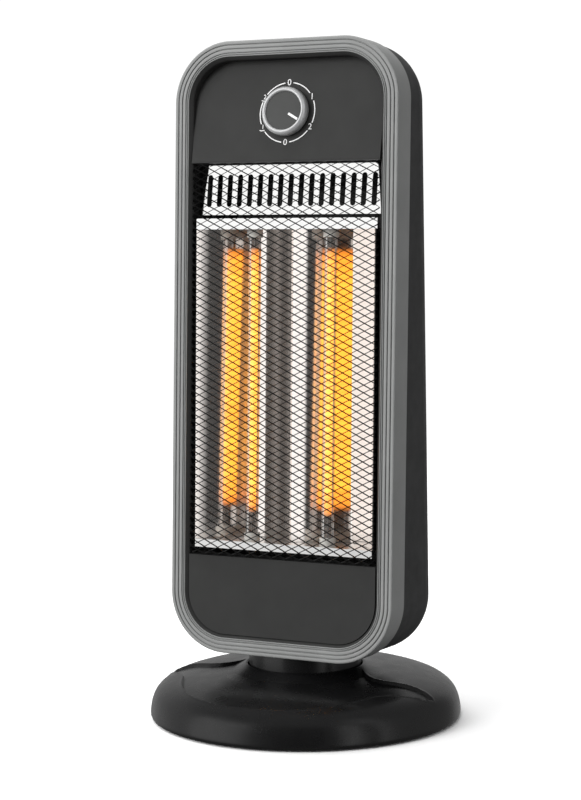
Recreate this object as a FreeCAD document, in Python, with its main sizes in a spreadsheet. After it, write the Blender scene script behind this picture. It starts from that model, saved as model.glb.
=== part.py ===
import FreeCAD, Part
import Sketcher
import math
import os

# Upright two-tube radiant heater on a swivelling neck and a round base.
# Millimetres. Origin on the floor under the middle of the base, +Z up, front towards -Y.

os.makedirs("parts", exist_ok=True)

Vec = FreeCAD.Vector
Rot = FreeCAD.Rotation
Pla = FreeCAD.Placement

doc = FreeCAD.newDocument("heater")

# ---------------------------------------------------------------- driving dimensions
CELLS = [
    # tower frame
    ("tower_tilt", 2.757, "lean of the front plane, degrees"),
    ("tower_front_y", -50.7, "front plane at its lower edge"),
    ("tower_front_z", 56.8, "lower edge of the front plane"),
    # bezel
    ("bezel_half_w", 101.0, "half width of the tower"),
    ("bezel_half_h", 252.65, "half height of the tower along its lean"),
    ("bezel_corner", 50.0, "corner radius"),
    ("bezel_depth", 25.0, "depth of the side band"),
    ("bezel_front_t", 3.0, "thickness of the ribbed face"),
    ("bezel_wall", 2.4, "thickness of the side band"),
    ("bezel_ring", 12.75, "width of the ribbed face"),
    ("bezel_inner", 15.3, "outer edge to inner wall"),
    ("bezel_lip", 16.0, "depth of the inner wall"),
    ("bezel_bevel", 5.0, "depth of the inner bevel"),
    ("bezel_edge", 1.0, "rounding of the outer front edge"),
    ("groove_first", 2.95, "outer edge to the first groove"),
    ("groove_pitch", 3.35, "groove spacing"),
    ("groove_width", 0.9, "groove width"),
    ("groove_deep", 0.9, "groove depth"),
    ("boss_r", 3.6, "screw boss radius"),
    ("boss_hole_r", 1.5, "screw boss hole radius"),
    ("boss_edge", 7.65, "outer edge to the boss axis"),
    ("boss_low", 80.0, "height of the low bosses"),
    ("boss_mid", 252.65, "height of the middle bosses"),
    ("boss_top", 425.0, "height of the top bosses"),
    # rear cover
    ("rear_inset", 1.5, "step from bezel to rear cover"),
    ("rear_back_y", 48.9, "rear face at the height of the hand grip"),
    ("rear_fillet", 32.0, "rounding round the rear face"),
    ("rear_lean", 1.2, "lean of the rear face, deeper towards the foot, degrees"),
    ("rear_wall", 2.2, "rear cover wall"),
    ("well_r", 3.4, "screw well radius"),
    ("vent_half_w", 45.0, "half length of the rear slots"),
    ("vent_high", 4.2, "height of a rear slot"),
    ("vent_pitch", 9.0, "rear slot spacing"),
    ("grip_half_w", 45.0, "half width of the hand grip"),
    ("grip_high", 28.0, "height of the hand grip"),
    ("grip_deep", 21.0, "depth of the hand grip"),
    ("grip_z", 500.0, "height of the hand grip"),
    # front panel
    ("panel_edge", 15.6, "outer edge to the panel"),
    ("panel_t", 2.2, "panel thickness"),
    ("panel_low_d", 2.0, "depth of the lower panel face"),
    ("panel_low_top", 80.6, "top of the lower panel"),
    ("panel_up_bottom", 406.0, "lower edge of the control panel"),
    ("panel_up_d", 0.6, "depth of the control panel at its lower edge"),
    ("panel_up_tilt", 8.0, "lean of the control panel, degrees"),
    ("rail_d", 20.0, "depth of the guard rails"),
    ("rail_t", 2.0, "thickness of the guard rails"),
    ("window_half_w", 78.6, "half width of the window"),
    ("dial_v", 446.0, "height of the dial"),
    ("bush_hole_r", 4.6, "hole for the switch bush"),
    # guard
    ("guard_half_w", 84.9, "half width of the guard foot"),
    ("guard_draw", 1.2, "narrowing of the guard from foot to face"),
    ("guard_low", 81.4, "lower edge of the guard"),
    ("guard_high", 405.6, "upper edge of the guard"),
    ("guard_front", -2.4, "depth of the guard face"),
    ("guard_foot", 9.1, "depth of the guard foot"),
    ("guard_t", 0.8, "guard sheet"),
    ("guard_round", 5.0, "guard edge rounding"),
    ("guard_corner", 12.0, "guard corner radius"),
    ("mesh_w", 25.0, "diamond width"),
    ("mesh_h", 12.3, "diamond height"),
    ("mesh_strand", 1.6, "strand width"),
    # vent plate
    ("vplate_low", 363.6, "lower edge"),
    ("vplate_high", 405.2, "upper edge"),
    ("vplate_d", 12.0, "depth of the lower edge"),
    ("vplate_tilt", 6.0, "lean, degrees"),
    ("vplate_low_w", 82.0, "half width below"),
    ("vplate_high_w", 77.0, "half width above"),
    ("vplate_t", 0.8, "sheet"),
    ("slot_count", 17, "slots"),
    ("slot_pitch", 9.4, "slot spacing"),
    ("slot_w", 4.6, "slot width"),
    ("slot_len", 27.0, "slot length"),
    ("slot_mid", 20.2, "slot centre above the lower edge"),
    # reflector
    ("refl_half", 81.1, "outer edge of a trough"),
    ("refl_vertex_u", 43.7, "place of the bottom of a trough"),
    ("refl_lean", 0.468, "lean of the reflector against the front plane, degrees"),
    ("refl_shift", 0.33, "set-back of the reflector at its lower end"),
    ("refl_vertex", 44.1, "depth of a trough"),
    ("refl_ridge", 21.3, "depth of the middle ridge"),
    ("refl_rim", 4.16, "depth of the outer rim"),
    ("refl_power", 1.97, "trough exponent, inner half"),
    ("refl_power_out", 1.42, "trough exponent, outer half"),
    ("refl_low", 93.4, "lower end"),
    ("refl_high", 351.4, "upper end"),
    ("sheet_t", 0.8, "reflector sheet"),
    ("lip_d", 4.2, "depth of the end plate lips"),
    ("lip_high", 360.4, "top of the upper lip"),
    ("lip_low", 86.9, "foot of the lower lip"),
    # tubes
    ("tube_u", 34.8, "tube axis from the middle"),
    ("tube_d", 18.6, "tube depth"),
    ("tube_r", 5.2, "tube radius"),
    ("tube_bore", 4.3, "tube bore"),
    ("tube_low", 96.0, "lower end"),
    ("tube_high", 349.0, "upper end"),
    ("fil_r", 3.9, "heated element radius"),
    ("fil_low", 117.0, "heated length, lower end"),
    ("fil_high", 337.0, "heated length, upper end"),
    ("lead_r", 0.7, "lead radius"),
    ("cap_r", 6.6, "ceramic cap radius"),
    ("cap_len", 14.0, "ceramic cap length"),
    # heat shield
    ("shield_d", 55.0, "depth of the shield"),
    ("shield_half_w", 79.0, "half width"),
    # knob
    ("knob_r", 19.9, "knob radius"),
    ("knob_core_r", 19.1, "knob core radius"),
    ("knob_gap", 0.6, "gap under the knob"),
    ("knob_floor", 6.4, "height of the knob face seat"),
    ("knob_high", 8.9, "height of the knob rim"),
    ("knob_face_r", 15.8, "knob face radius"),
    ("shaft_r", 3.0, "switch shaft radius"),
    ("shaft_bore", 3.05, "switch bush bore"),
    ("bush_r", 4.5, "switch bush radius"),
    ("switch_side", 32.0, "switch body side"),
    ("switch_deep", 17.0, "switch body depth"),
    # neck
    ("neck_r", 47.3, "neck skirt radius"),
    ("neck_wall_r", 44.7, "neck cavity radius"),
    ("neck_low", 36.2, "foot of the neck skirt"),
    ("neck_roof", 46.0, "roof of the neck cavity"),
    ("wire_hole_r", 11.5, "wire way radius"),
    ("spindle_r", 15.0, "spindle radius"),
    ("spindle_low", 22.4, "foot of the spindle"),
    ("disc_low", 35.8, "foot of the turning disc"),
    ("disc_t", 3.0, "turning disc"),
    ("disc_r", 44.6, "turning disc radius"),
    ("bush_bore", 15.06, "swivel bush bore"),
    ("bush_out", 17.0, "swivel bush outside"),
    # base
    ("base_r", 130.5, "base radius"),
    ("base_low", 1.6, "lower edge of the base"),
    ("collar_r", 48.2, "collar bore"),
    ("collar_top", 44.0, "collar top"),
    ("well_floor", 34.0, "floor of the neck well"),
    ("well_under", 31.5, "underside of the neck well"),
    ("leaf_drop", 2.1, "depth of the leaf recess"),
    ("plate_r", 127.0, "base plate radius"),
    ("plate_t", 2.0, "base plate"),
    ("foot_r", 8.0, "foot radius"),
    ("foot_ring", 110.0, "feet from the middle"),
    ("peg_r", 2.5, "foot peg radius"),
    ("post_r", 4.0, "screw post radius"),
    ("post_ring", 103.0, "screw posts from the middle"),
    ("screw_r", 1.6, "base screw radius"),
    # drive
    ("gear_module", 1.25, "gear module"),
    ("gear_teeth", 60, "teeth on the full wheel"),
    ("pinion_teeth", 12, "pinion teeth"),
    ("gear_angle", 25.0, "pressure angle, degrees"),
    ("gear_slack", 0.10, "thinning of each flank"),
    ("gear_low", 25.2, "foot of the sector gear"),
    ("gear_t", 5.2, "sector gear thickness"),
    ("motor_r", 24.5, "motor radius"),
    ("motor_high", 18.0, "motor height"),
    # tip-over plunger
    ("plunger_x", -52.0, "plunger axis"),
    ("plunger_y", -46.0, "plunger axis"),
    ("plunger_r", 5.0, "plunger radius"),
    ("plunger_bore", 5.06, "plunger hole radius"),
    ("plunger_low", 0.1, "plunger foot at rest"),
    ("plunger_travel", 6.0, "plunger travel"),
    # cord gland
    ("gland_bore", 3.6, "gland bore radius"),
    ("gland_r", 5.5, "gland radius"),
    ("gland_z", 13.0, "gland height"),
]

sheet = doc.addObject("Spreadsheet::Sheet", "Dims")
for row, (name, value, note) in enumerate(CELLS, start=1):
    sheet.set("A%d" % row, name)
    sheet.set("B%d" % row, str(value))
    sheet.set("C%d" % row, note)
    sheet.setAlias("B%d" % row, name)
doc.recompute()


class Dim:
    """A number with the expression that it comes from."""

    def __init__(self, value, text):
        self.value = float(value)
        self.text = text

    def __add__(self, other):
        other = dim(other)
        return Dim(self.value + other.value, "(%s + %s)" % (self.text, other.text))

    def __sub__(self, other):
        other = dim(other)
        return Dim(self.value - other.value, "(%s - %s)" % (self.text, other.text))

    def __mul__(self, other):
        other = dim(other)
        return Dim(self.value * other.value, "(%s * %s)" % (self.text, other.text))

    def __truediv__(self, other):
        other = dim(other)
        return Dim(self.value / other.value, "(%s / %s)" % (self.text, other.text))

    def __neg__(self):
        return Dim(-self.value, "(0 - %s)" % self.text)


def dim(x):
    if isinstance(x, Dim):
        return x
    if isinstance(x, str):
        return Dim(sheet.get(x), "Dims." + x)
    return Dim(x, repr(float(x)))


def val(name):
    return float(sheet.get(name))


NODES = {}


def node(obj, label):
    obj.Label = label
    NODES[label] = obj
    return obj


def bind(obj, prop, d):
    d = dim(d)
    obj.setExpression(prop, d.text)
    return d


# ---------------------------------------------------------------- frames
TOWER = Pla(Vec(0, val("tower_front_y"), val("tower_front_z")), Rot(Vec(1, 0, 0), -val("tower_tilt")))


def tower(x=0.0, d=0.0, v=0.0, rot=None):
    """Placement at x across, d behind the front plane and v up it."""
    return TOWER.multiply(Pla(Vec(x, d, v), rot or Rot()))


def tower_pt(x, d, v):
    return TOWER.multVec(Vec(x, d, v))


ALONG_V = TOWER.Rotation.multVec(Vec(0, 0, 1))
ALONG_D = TOWER.Rotation.multVec(Vec(0, 1, 0))
TO_BACK = Rot(Vec(1, 0, 0), -90)      # turns +Z into +Y
TO_FRONT = Rot(Vec(1, 0, 0), 90)      # turns +Z into -Y

dial_d = val("panel_up_d") + (val("dial_v") - val("panel_up_bottom")) * math.tan(math.radians(val("panel_up_tilt")))
PANEL = tower(0, dial_d, val("dial_v"), Rot(Vec(1, 0, 0), -val("panel_up_tilt")))
DIAL = PANEL.multiply(Pla(Vec(0, 0, 0), TO_FRONT))   # +Z out of the control panel, +Y up it


# ---------------------------------------------------------------- builders
def cyl(name, r, high, place):
    o = doc.addObject("Part::Cylinder", name)
    bind(o, "Radius", r)
    bind(o, "Height", high)
    o.Placement = place
    return o


def box(name, lx, ly, lz, place):
    o = doc.addObject("Part::Box", name)
    bind(o, "Length", lx)
    bind(o, "Width", ly)
    bind(o, "Height", lz)
    o.Placement = place
    return o


def cut(name, base, tool):
    o = doc.addObject("Part::Cut", name)
    o.Base = base
    o.Tool = tool
    return o


def fuse(name, items):
    o = doc.addObject("Part::MultiFuse", name)
    o.Shapes = items
    o.Refine = True
    return o


def common(name, items):
    o = doc.addObject("Part::MultiCommon", name)
    o.Shapes = items
    return o


def feature(name, shape, place=None):
    o = doc.addObject("Part::Feature", name)
    o.Shape = shape
    if place is not None:
        o.Placement = place
    return o


def body(name, place):
    b = doc.addObject("PartDesign::Body", name)
    b.Placement = place
    return b


def sketch(b, name, role, offset=None):
    s = b.newObject("Sketcher::SketchObject", name)
    plane = [f for f in b.Origin.OriginFeatures if f.Role == role][0]
    s.AttachmentSupport = [(plane, "")]
    s.MapMode = "FlatFace"
    if offset is not None:
        s.setExpression("AttachmentOffset.Base.z", dim(offset).text)
    return s


def con(s, d, *args):
    d = dim(d)
    i = s.addConstraint(Sketcher.Constraint(*args, d.value))
    s.setExpression("Constraints[%d]" % i, d.text)
    return i


def sk_rrect(s, half_w, half_h, r):
    """Rounded rectangle about the sketch origin."""
    half_w, half_h, r = dim(half_w), dim(half_h), dim(r)
    w, hh, rr = half_w.value, half_h.value, r.value
    z = Vec(0, 0, 1)
    g = []
    pts = [((-w + rr, -hh), (w - rr, -hh)), ((w, -hh + rr), (w, hh - rr)), ((w - rr, hh), (-w + rr, hh)), ((-w, hh - rr), (-w, -hh + rr))]
    cen = [((w - rr, -hh + rr), -90), ((w - rr, hh - rr), 0), ((-w + rr, hh - rr), 90), ((-w + rr, -hh + rr), 180)]
    for (a, b2), (c, start) in zip(pts, cen):
        g.append(s.addGeometry(Part.LineSegment(Vec(a[0], a[1], 0), Vec(b2[0], b2[1], 0)), False))
        circ = Part.Circle(Vec(c[0], c[1], 0), z, rr)
        g.append(s.addGeometry(Part.ArcOfCircle(circ, math.radians(start), math.radians(start + 90)), False))
    for i in range(8):
        a, b2 = g[i], g[(i + 1) % 8]
        s.addConstraint(Sketcher.Constraint("Tangent", a, 2, b2, 1))
    s.addConstraint(Sketcher.Constraint("Horizontal", g[0]))
    s.addConstraint(Sketcher.Constraint("Horizontal", g[4]))
    s.addConstraint(Sketcher.Constraint("Vertical", g[2]))
    s.addConstraint(Sketcher.Constraint("Vertical", g[6]))
    for k in (3, 5, 7):
        s.addConstraint(Sketcher.Constraint("Equal", g[1], g[k]))
    con(s, r, "Radius", g[1])
    con(s, half_w, "DistanceX", -1, 1, g[2], 1)
    con(s, half_w, "DistanceX", g[6], 1, -1, 1)
    con(s, half_h, "DistanceY", -1, 1, g[4], 1)
    con(s, half_h, "DistanceY", g[0], 1, -1, 1)
    return g


def sk_circle(s, x, y, r):
    x, y, r = dim(x), dim(y), dim(r)
    i = s.addGeometry(Part.Circle(Vec(x.value, y.value, 0), Vec(0, 0, 1), r.value), False)
    con(s, r, "Radius", i)
    for d, axis in ((x, "DistanceX"), (y, "DistanceY")):
        if abs(d.value) < 1e-9:
            s.addConstraint(Sketcher.Constraint("PointOnObject", i, 3, -2 if axis == "DistanceX" else -1))
        elif d.value > 0:
            con(s, d, axis, -1, 1, i, 3)
        else:
            con(s, -d, axis, i, 3, -1, 1)
    return i


def sk_poly(s, pts):
    """Closed polygon with each corner placed from the sketch origin."""
    pts = [(dim(a), dim(b2)) for a, b2 in pts]
    n = len(pts)
    g = []
    for k in range(n):
        a, b2 = pts[k], pts[(k + 1) % n]
        g.append(s.addGeometry(Part.LineSegment(Vec(a[0].value, a[1].value, 0), Vec(b2[0].value, b2[1].value, 0)), False))
    for k in range(n):
        s.addConstraint(Sketcher.Constraint("Coincident", g[k], 2, g[(k + 1) % n], 1))
    for k in range(n):
        for d, axis, line in ((pts[k][0], "DistanceX", -2), (pts[k][1], "DistanceY", -1)):
            if abs(d.value) < 1e-9:
                s.addConstraint(Sketcher.Constraint("PointOnObject", g[k], 1, line))
            elif d.value > 0:
                con(s, d, axis, -1, 1, g[k], 1)
            else:
                con(s, -d, axis, g[k], 1, -1, 1)
    return g


def grow(b, kind, name, s, length, flip=False):
    f = b.newObject("PartDesign::" + kind, name)
    f.Profile = s
    bind(f, "Length", length)
    f.Reversed = flip
    b.Tip = f
    doc.recompute()
    return f


def turned(name, pts, place):
    """Full turn of a closed (r, z) outline about the body's Z axis."""
    b = body(name, place)
    s = sketch(b, name + "_outline", "XZ_Plane")
    sk_poly(s, pts)
    f = b.newObject("PartDesign::Revolution", name + "_turn")
    f.Profile = s
    f.ReferenceAxis = (s, ["V_Axis"])
    f.Angle = 360
    b.Tip = f
    doc.recompute()
    return b


def copies(name, shape, places):
    out = []
    for p in places:
        c = shape.copy()
        c.Placement = p.multiply(shape.Placement)
        out.append(c)
    return feature(name, Part.makeCompound(out))


def polar(x, y, n, start=0.0):
    """n placements round the Z axis, the first at x, y."""
    return [Pla(Vec(0, 0, 0), Rot(Vec(0, 0, 1), start + 360.0 * k / n)).multiply(Pla(Vec(x, y, 0), Rot())) for k in range(n)]


def spline_edge(points):
    c = Part.BSplineCurve()
    c.interpolate([Vec(*p) for p in points])
    return c.toShape()


def ring_prism(half_w, half_h, r, d0, d1):
    """Solid rounded rectangle of the tower, from depth d0 to d1."""
    w, hh = half_w, half_h
    e = []
    pts = [((-w + r, -hh), (w - r, -hh)), ((w, -hh + r), (w, hh - r)), ((w - r, hh), (-w + r, hh)), ((-w, hh - r), (-w, -hh + r))]
    cen = [((w - r, -hh + r), -90), ((w - r, hh - r), 0), ((-w + r, hh - r), 90), ((-w + r, -hh + r), 180)]
    for (a, b2), (c, start) in zip(pts, cen):
        e.append(Part.makeLine(Vec(a[0], d0, a[1]), Vec(b2[0], d0, b2[1])))
        a0, a1, a2 = (math.radians(start + k) for k in (0, 45, 90))
        e.append(Part.Arc(Vec(c[0] + r * math.cos(a0), d0, c[1] + r * math.sin(a0)),
                          Vec(c[0] + r * math.cos(a1), d0, c[1] + r * math.sin(a1)),
                          Vec(c[0] + r * math.cos(a2), d0, c[1] + r * math.sin(a2))).toShape())
    return Part.Face(Part.Wire(e)).extrude(Vec(0, d1 - d0, 0))


MID = tower(0, 0, val("bezel_half_h"))     # frame at the middle of the bezel

# ---------------------------------------------------------------- front bezel
bw, bh, bc = dim("bezel_half_w"), dim("bezel_half_h"), dim("bezel_corner")


def bezel_loop(s, inset):
    inset = dim(inset)
    return sk_rrect(s, bw - inset, bh - inset, bc - inset)


bz = body("bezel_body", MID)
s = sketch(bz, "bezel_face", "XZ_Plane")
bezel_loop(s, 0.0)
bezel_loop(s, "bezel_inner")
f = grow(bz, "Pad", "bezel_band", s, "bezel_depth", True)
vol = f.Shape.Volume
s = sketch(bz, "bezel_back", "XZ_Plane", -dim("bezel_depth"))
bezel_loop(s, "bezel_wall")
bezel_loop(s, dim("bezel_inner") + 0.0)
f = grow(bz, "Pocket", "bezel_back_cut", s, dim("bezel_depth") - dim("bezel_lip"), True)
assert f.Shape.Volume < vol - 1000
vol = f.Shape.Volume
s = sketch(bz, "bezel_channel", "XZ_Plane", -dim("bezel_lip"))
bezel_loop(s, "bezel_wall")
bezel_loop(s, dim("bezel_inner") - 2.4)
f = grow(bz, "Pocket", "bezel_channel_cut", s, dim("bezel_lip") - dim("bezel_front_t"), True)
assert f.Shape.Volume < vol - 1000
vol = f.Shape.Volume
s = sketch(bz, "bezel_grooves", "XZ_Plane")
for k in range(3):
    start = dim("groove_first") + dim("groove_pitch") * k
    bezel_loop(s, start)
    bezel_loop(s, start + "groove_width")
f = grow(bz, "Pocket", "bezel_groove_cut", s, "groove_deep")
assert f.Shape.Volume < vol - 500
vol = f.Shape.Volume
bm = dim("boss_edge")
s = sketch(bz, "bezel_bosses", "XZ_Plane", -dim("bezel_depth"))
for side in (1, -1):
    for level in ("boss_low", "boss_mid", "boss_top"):
        x = (bw - bm) if side > 0 else -(bw - bm)
        sk_circle(s, x, 0.0 if level == "boss_mid" else dim(level) - bh, "boss_r")
f = grow(bz, "Pad", "bezel_boss", s, dim("bezel_depth") - dim("bezel_front_t"))
assert f.Shape.Volume > vol + 500
vol = f.Shape.Volume
s = sketch(bz, "bezel_boss_holes", "XZ_Plane", -dim("bezel_depth"))
for side in (1, -1):
    for level in ("boss_low", "boss_mid", "boss_top"):
        x = (bw - bm) if side > 0 else -(bw - bm)
        sk_circle(s, x, 0.0 if level == "boss_mid" else dim(level) - bh, "boss_hole_r")
f = grow(bz, "Pocket", "bezel_boss_hole", s, 16.0, True)
assert f.Shape.Volume < vol - 200
# inner bevel and the rounded outer edge of the face
inner_edges, outer_edges = [], []
for i, e in enumerate(f.Shape.Edges, start=1):
    bb = e.BoundBox
    if bb.YMax < 1e-6 and bb.YMin > -1e-6:
        m = e.valueAt(0.5 * (e.FirstParameter + e.LastParameter))
        ex, ez = abs(m.x), abs(m.z)
        w, hh, rr = bw.value, bh.value, bc.value
        cx, cz = max(ex - (w - rr), 0.0), max(ez - (hh - rr), 0.0)
        inset = rr - math.hypot(cx, cz) if cx > 0 and cz > 0 else min(w - ex, hh - ez)
        if abs(inset) < 0.05:
            outer_edges.append("Edge%d" % i)
        elif abs(inset - val("bezel_inner")) < 0.05:
            inner_edges.append("Edge%d" % i)
ch = bz.newObject("PartDesign::Chamfer", "bezel_bevel_cut")
ch.Base = (f, inner_edges)
ch.ChamferType = "Two distances"
bind(ch, "Size", "bezel_bevel")
bind(ch, "Size2", dim("bezel_inner") - dim("bezel_ring"))
bz.Tip = ch
doc.recompute()
outer_edges = []
for i, e in enumerate(ch.Shape.Edges, start=1):
    bb = e.BoundBox
    if bb.YMax < 1e-6 and bb.YMin > -1e-6:
        m = e.valueAt(0.5 * (e.FirstParameter + e.LastParameter))
        ex, ez = abs(m.x), abs(m.z)
        w, hh, rr = bw.value, bh.value, bc.value
        cx, cz = max(ex - (w - rr), 0.0), max(ez - (hh - rr), 0.0)
        inset = rr - math.hypot(cx, cz) if cx > 0 and cz > 0 else min(w - ex, hh - ez)
        if abs(inset) < 0.05:
            outer_edges.append("Edge%d" % i)
fl = bz.newObject("PartDesign::Fillet", "bezel_edge_round")
fl.Base = (ch, outer_edges)
bind(fl, "Radius", "bezel_edge")
bz.Tip = fl
doc.recompute()
node(bz, "front_bezel")

# ---------------------------------------------------------------- rear cover
tilt = math.radians(val("tower_tilt"))


def back_depth(v, y):
    """Depth behind the front plane at height v of the leaning rear plane, which is at y behind the hand grip."""
    k = math.tan(math.radians(val("rear_lean")))
    c, s = math.cos(tilt), math.sin(tilt)
    return (y + k * (val("grip_z") - val("tower_front_z")) - val("tower_front_y") - v * (s + k * c)) / (c - k * s)


def rear_solid(inset, back_y, fillet, d0):
    w, hh, r = val("bezel_half_w") - inset, val("bezel_half_h") - inset, val("bezel_corner") - inset
    solid = ring_prism(w, hh, r, d0, 160.0)
    h0 = val("bezel_half_h")
    lo, hi = back_depth(-60.0, back_y), back_depth(2 * h0 + 60.0, back_y)
    tool = Part.Face(Part.makePolygon([Vec(-200, lo, -60 - h0), Vec(-200, 300, -60 - h0), Vec(-200, 300, h0 + 60), Vec(-200, hi, h0 + 60), Vec(-200, lo, -60 - h0)])).extrude(Vec(400, 0, 0))
    solid = solid.cut(tool)
    steep = tilt + math.radians(val("rear_lean"))
    n = Vec(0, math.cos(steep), math.sin(steep))
    back = [fc for fc in solid.Faces if fc.Surface.TypeId == "Part::GeomPlane" and abs(fc.normalAt(0, 0).dot(n)) > 0.9999]
    back = max(back, key=lambda fc: fc.CenterOfMass.y)
    return solid.makeFillet(fillet, back.Edges)


d_seam = val("bezel_depth")
t_rear = val("rear_wall")
rear_out = rear_solid(val("rear_inset"), val("rear_back_y"), val("rear_fillet"), d_seam)
rear_in = rear_solid(val("rear_inset") + t_rear, val("rear_back_y") - t_rear, val("rear_fillet") - t_rear, d_seam - 1.0)
shell = rear_out.cut(rear_in)
h0 = val("bezel_half_h")
posts, bores = [], []
for side in (1, -1):
    for level in ("boss_low", "boss_mid", "boss_top"):
        x, z = side * (val("bezel_half_w") - val("boss_edge")), val(level) - h0
        posts.append(Part.makeCylinder(4.4, 100, Vec(x, d_seam, z), Vec(0, 1, 0)).common(rear_out))
        bores.append(Part.makeCylinder(val("well_r"), 120, Vec(x, d_seam + 6.0, z), Vec(0, 1, 0)))
        bores.append(Part.makeCylinder(val("boss_hole_r"), 8, Vec(x, d_seam - 0.5, z), Vec(0, 1, 0)))
shell = shell.fuse(posts)
# hand grip: a cup let into the rear wall, upright
to_mid = MID.inverse()
gz, gh, gw, gd = val("grip_z"), val("grip_high"), val("grip_half_w"), val("grip_deep")
yb = val("rear_back_y")


def rounded_slot(half_w, high, r, y0, y1, zc):
    w, q = half_w, high / 2.0
    b2 = Part.makeBox(2 * w, y1 - y0, high, Vec(-w, y0, zc - q))
    return b2.makeFillet(r, [e for e in b2.Edges if abs(e.tangentAt(e.FirstParameter).y) > 0.99])


cup = rounded_slot(gw + 2.2, gh + 4.4, 6.0, yb - gd - 2.2, yb - 0.6, gz)
cup.Placement = to_mid.multiply(cup.Placement)
shell = shell.fuse(cup.common(rear_out))
tools = list(bores)
hole = rounded_slot(gw, gh, 4.0, yb - gd, yb + 20, gz)
hole.Placement = to_mid.multiply(hole.Placement)
tools.append(hole)
# louvre slots, an upper field and a lower one
vp, vw, vh = val("vent_pitch"), val("vent_half_w"), val("vent_high")
for z in [330.0 + vp * k for k in range(10)] + [110.0 + vp * k for k in range(7)]:
    at_y = yb + math.tan(math.radians(val("rear_lean"))) * (gz - z)
    sl = rounded_slot(vw, vh, vh / 2.0 - 0.05, at_y - 8.0, at_y + 10.0, z)
    sl.Placement = to_mid.multiply(sl.Placement)
    tools.append(sl)
# wire way and screw holes through the bottom
way = Part.makeCylinder(val("wire_hole_r"), 60, Vec(0, 0, 30), Vec(0, 0, 1))
way.Placement = to_mid.multiply(way.Placement)
tools.append(way)
NECK_SCREWS = [(25.0, 36.0), (-25.0, 36.0), (25.0, 56.0), (-25.0, 56.0)]
for x, d in NECK_SCREWS:
    tools.append(Part.makeCylinder(2.0, 60, Vec(x, d, -h0 - 30), Vec(0, 0, 1)))
shell = shell.cut(tools).removeSplitter()
node(feature("rear_shell", shell.Solids[0] if len(shell.Solids) == 1 else shell, MID), "rear_cover")
rear_block = rear_out.copy()
rear_block.Placement = MID

# rear cover screws, one in each well
sh = fuse("rear_screw", [cyl("rear_screw_head", 3.1, 2.2, Pla(Vec(0, 0, 6.0), Rot())), cyl("rear_screw_shank", "boss_hole_r", 18.0, Pla(Vec(0, 0, -12.0), Rot()))])
doc.recompute()
places = []
for side in (1, -1):
    for level in ("boss_low", "boss_mid", "boss_top"):
        places.append(tower(side * (val("bezel_half_w") - val("boss_edge")), d_seam, val(level), TO_BACK))
node(copies("rear_screw_set", sh.Shape, places), "rear_screws")

# ---------------------------------------------------------------- front panel
pe = val("panel_edge")
outline = ring_prism(val("bezel_half_w") - pe, h0 - pe, val("bezel_corner") - pe, -10.0, 40.0)
ol = feature("panel_outline", outline, MID)
pt, rd, rt = dim("panel_t"), dim("rail_d"), dim("rail_t")
lowtop, upbot = dim("panel_low_top"), dim("panel_up_bottom")
low = box("panel_low", 200.0, pt, lowtop, tower(-100, val("panel_low_d"), 0))
low_step = box("panel_low_step", 200.0, rd + rt - "panel_low_d", 1.6, tower(-100, val("panel_low_d"), val("panel_low_top") - 1.6))
rails = box("panel_rails", 200.0, rt, upbot - lowtop + 2.4, tower(-100, val("rail_d"), val("panel_low_top") - 1.5))
window = box("panel_window", dim("window_half_w") * 2, 40.0, upbot - lowtop - 0.1, tower(-val("window_half_w"), 0, val("panel_low_top") + 0.05))
up_step = box("panel_up_step", 200.0, rd + rt - "panel_up_d", 1.6, tower(-100, val("panel_up_d"), val("panel_up_bottom")))
up = box("panel_up", 200.0, pt, 110.0, tower(-100, val("panel_up_d"), val("panel_up_bottom"), Rot(Vec(1, 0, 0), -val("panel_up_tilt"))))
whole = fuse("panel_whole", [low, low_step, cut("panel_rail_frame", rails, window), up_step, up])
trimmed = common("panel_trimmed", [whole, ol])
hole = cyl("panel_hole", "bush_hole_r", 30.0, PANEL.multiply(Pla(Vec(0, -15, 0), TO_BACK)))
node(cut("panel_done", trimmed, hole), "front_panel")

# ---------------------------------------------------------------- expanded-metal guard
gw2, g0, g1 = val("guard_half_w"), val("guard_low"), val("guard_high")
gf, gb, gt, gr, gc = val("guard_front"), val("guard_foot"), val("guard_t"), val("guard_round"), val("guard_corner")
gmid = 0.5 * (g0 + g1)
ghh = 0.5 * (g1 - g0)


draw = val("guard_draw")


def outline_wire(w, hh, r, d):
    """Rounded rectangle of the guard at depth d."""
    f = [fc for fc in ring_prism(w, hh, r, d, d + 1.0).Faces if fc.BoundBox.YMax < d + 1e-6][0]
    return f.OuterWire


def tray(inset, front, foot):
    return Part.makeLoft([outline_wire(gw2 - inset, ghh - inset, gc - inset, foot), outline_wire(gw2 - draw - inset, ghh - draw - inset, gc - inset, front)], True, True)


guard = tray(0.0, gf, gb).cut(tray(gt, gf + gt, gb + 0.02))
ww, wh = gw2 - draw - gr, ghh - draw - gr
guard = guard.cut(Part.makeBox(2 * ww, 6, 2 * wh, Vec(-ww, gf - 2, -wh)))
mw, mh, ms = val("mesh_w"), val("mesh_h"), val("mesh_strand")
frame_w, frame_h = ww + 0.6, wh + 0.6
outer_w = Part.makePolygon([Vec(-frame_w, gf, -frame_h), Vec(frame_w, gf, -frame_h), Vec(frame_w, gf, frame_h), Vec(-frame_w, gf, frame_h), Vec(-frame_w, gf, -frame_h)])
wires = [outer_w]
hw, hv = mw / 2 - ms, mh / 2 - ms / 2
for row in range(-14, 15):
    for col in range(-4, 5):
        for half in (0, 1):
            x, z = (col + 0.5 * half) * mw, (row + 0.5 * half) * mh
            if abs(x) + hw < ww - 0.5 and abs(z) + hv < wh - 0.5:
                wires.append(Part.makePolygon([Vec(x - hw, gf, z), Vec(x, gf, z + hv), Vec(x + hw, gf, z), Vec(x, gf, z - hv), Vec(x - hw, gf, z)]))
face = Part.Face(outer_w).cut(Part.makeCompound([Part.Face(w) for w in wires[1:]]))
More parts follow.
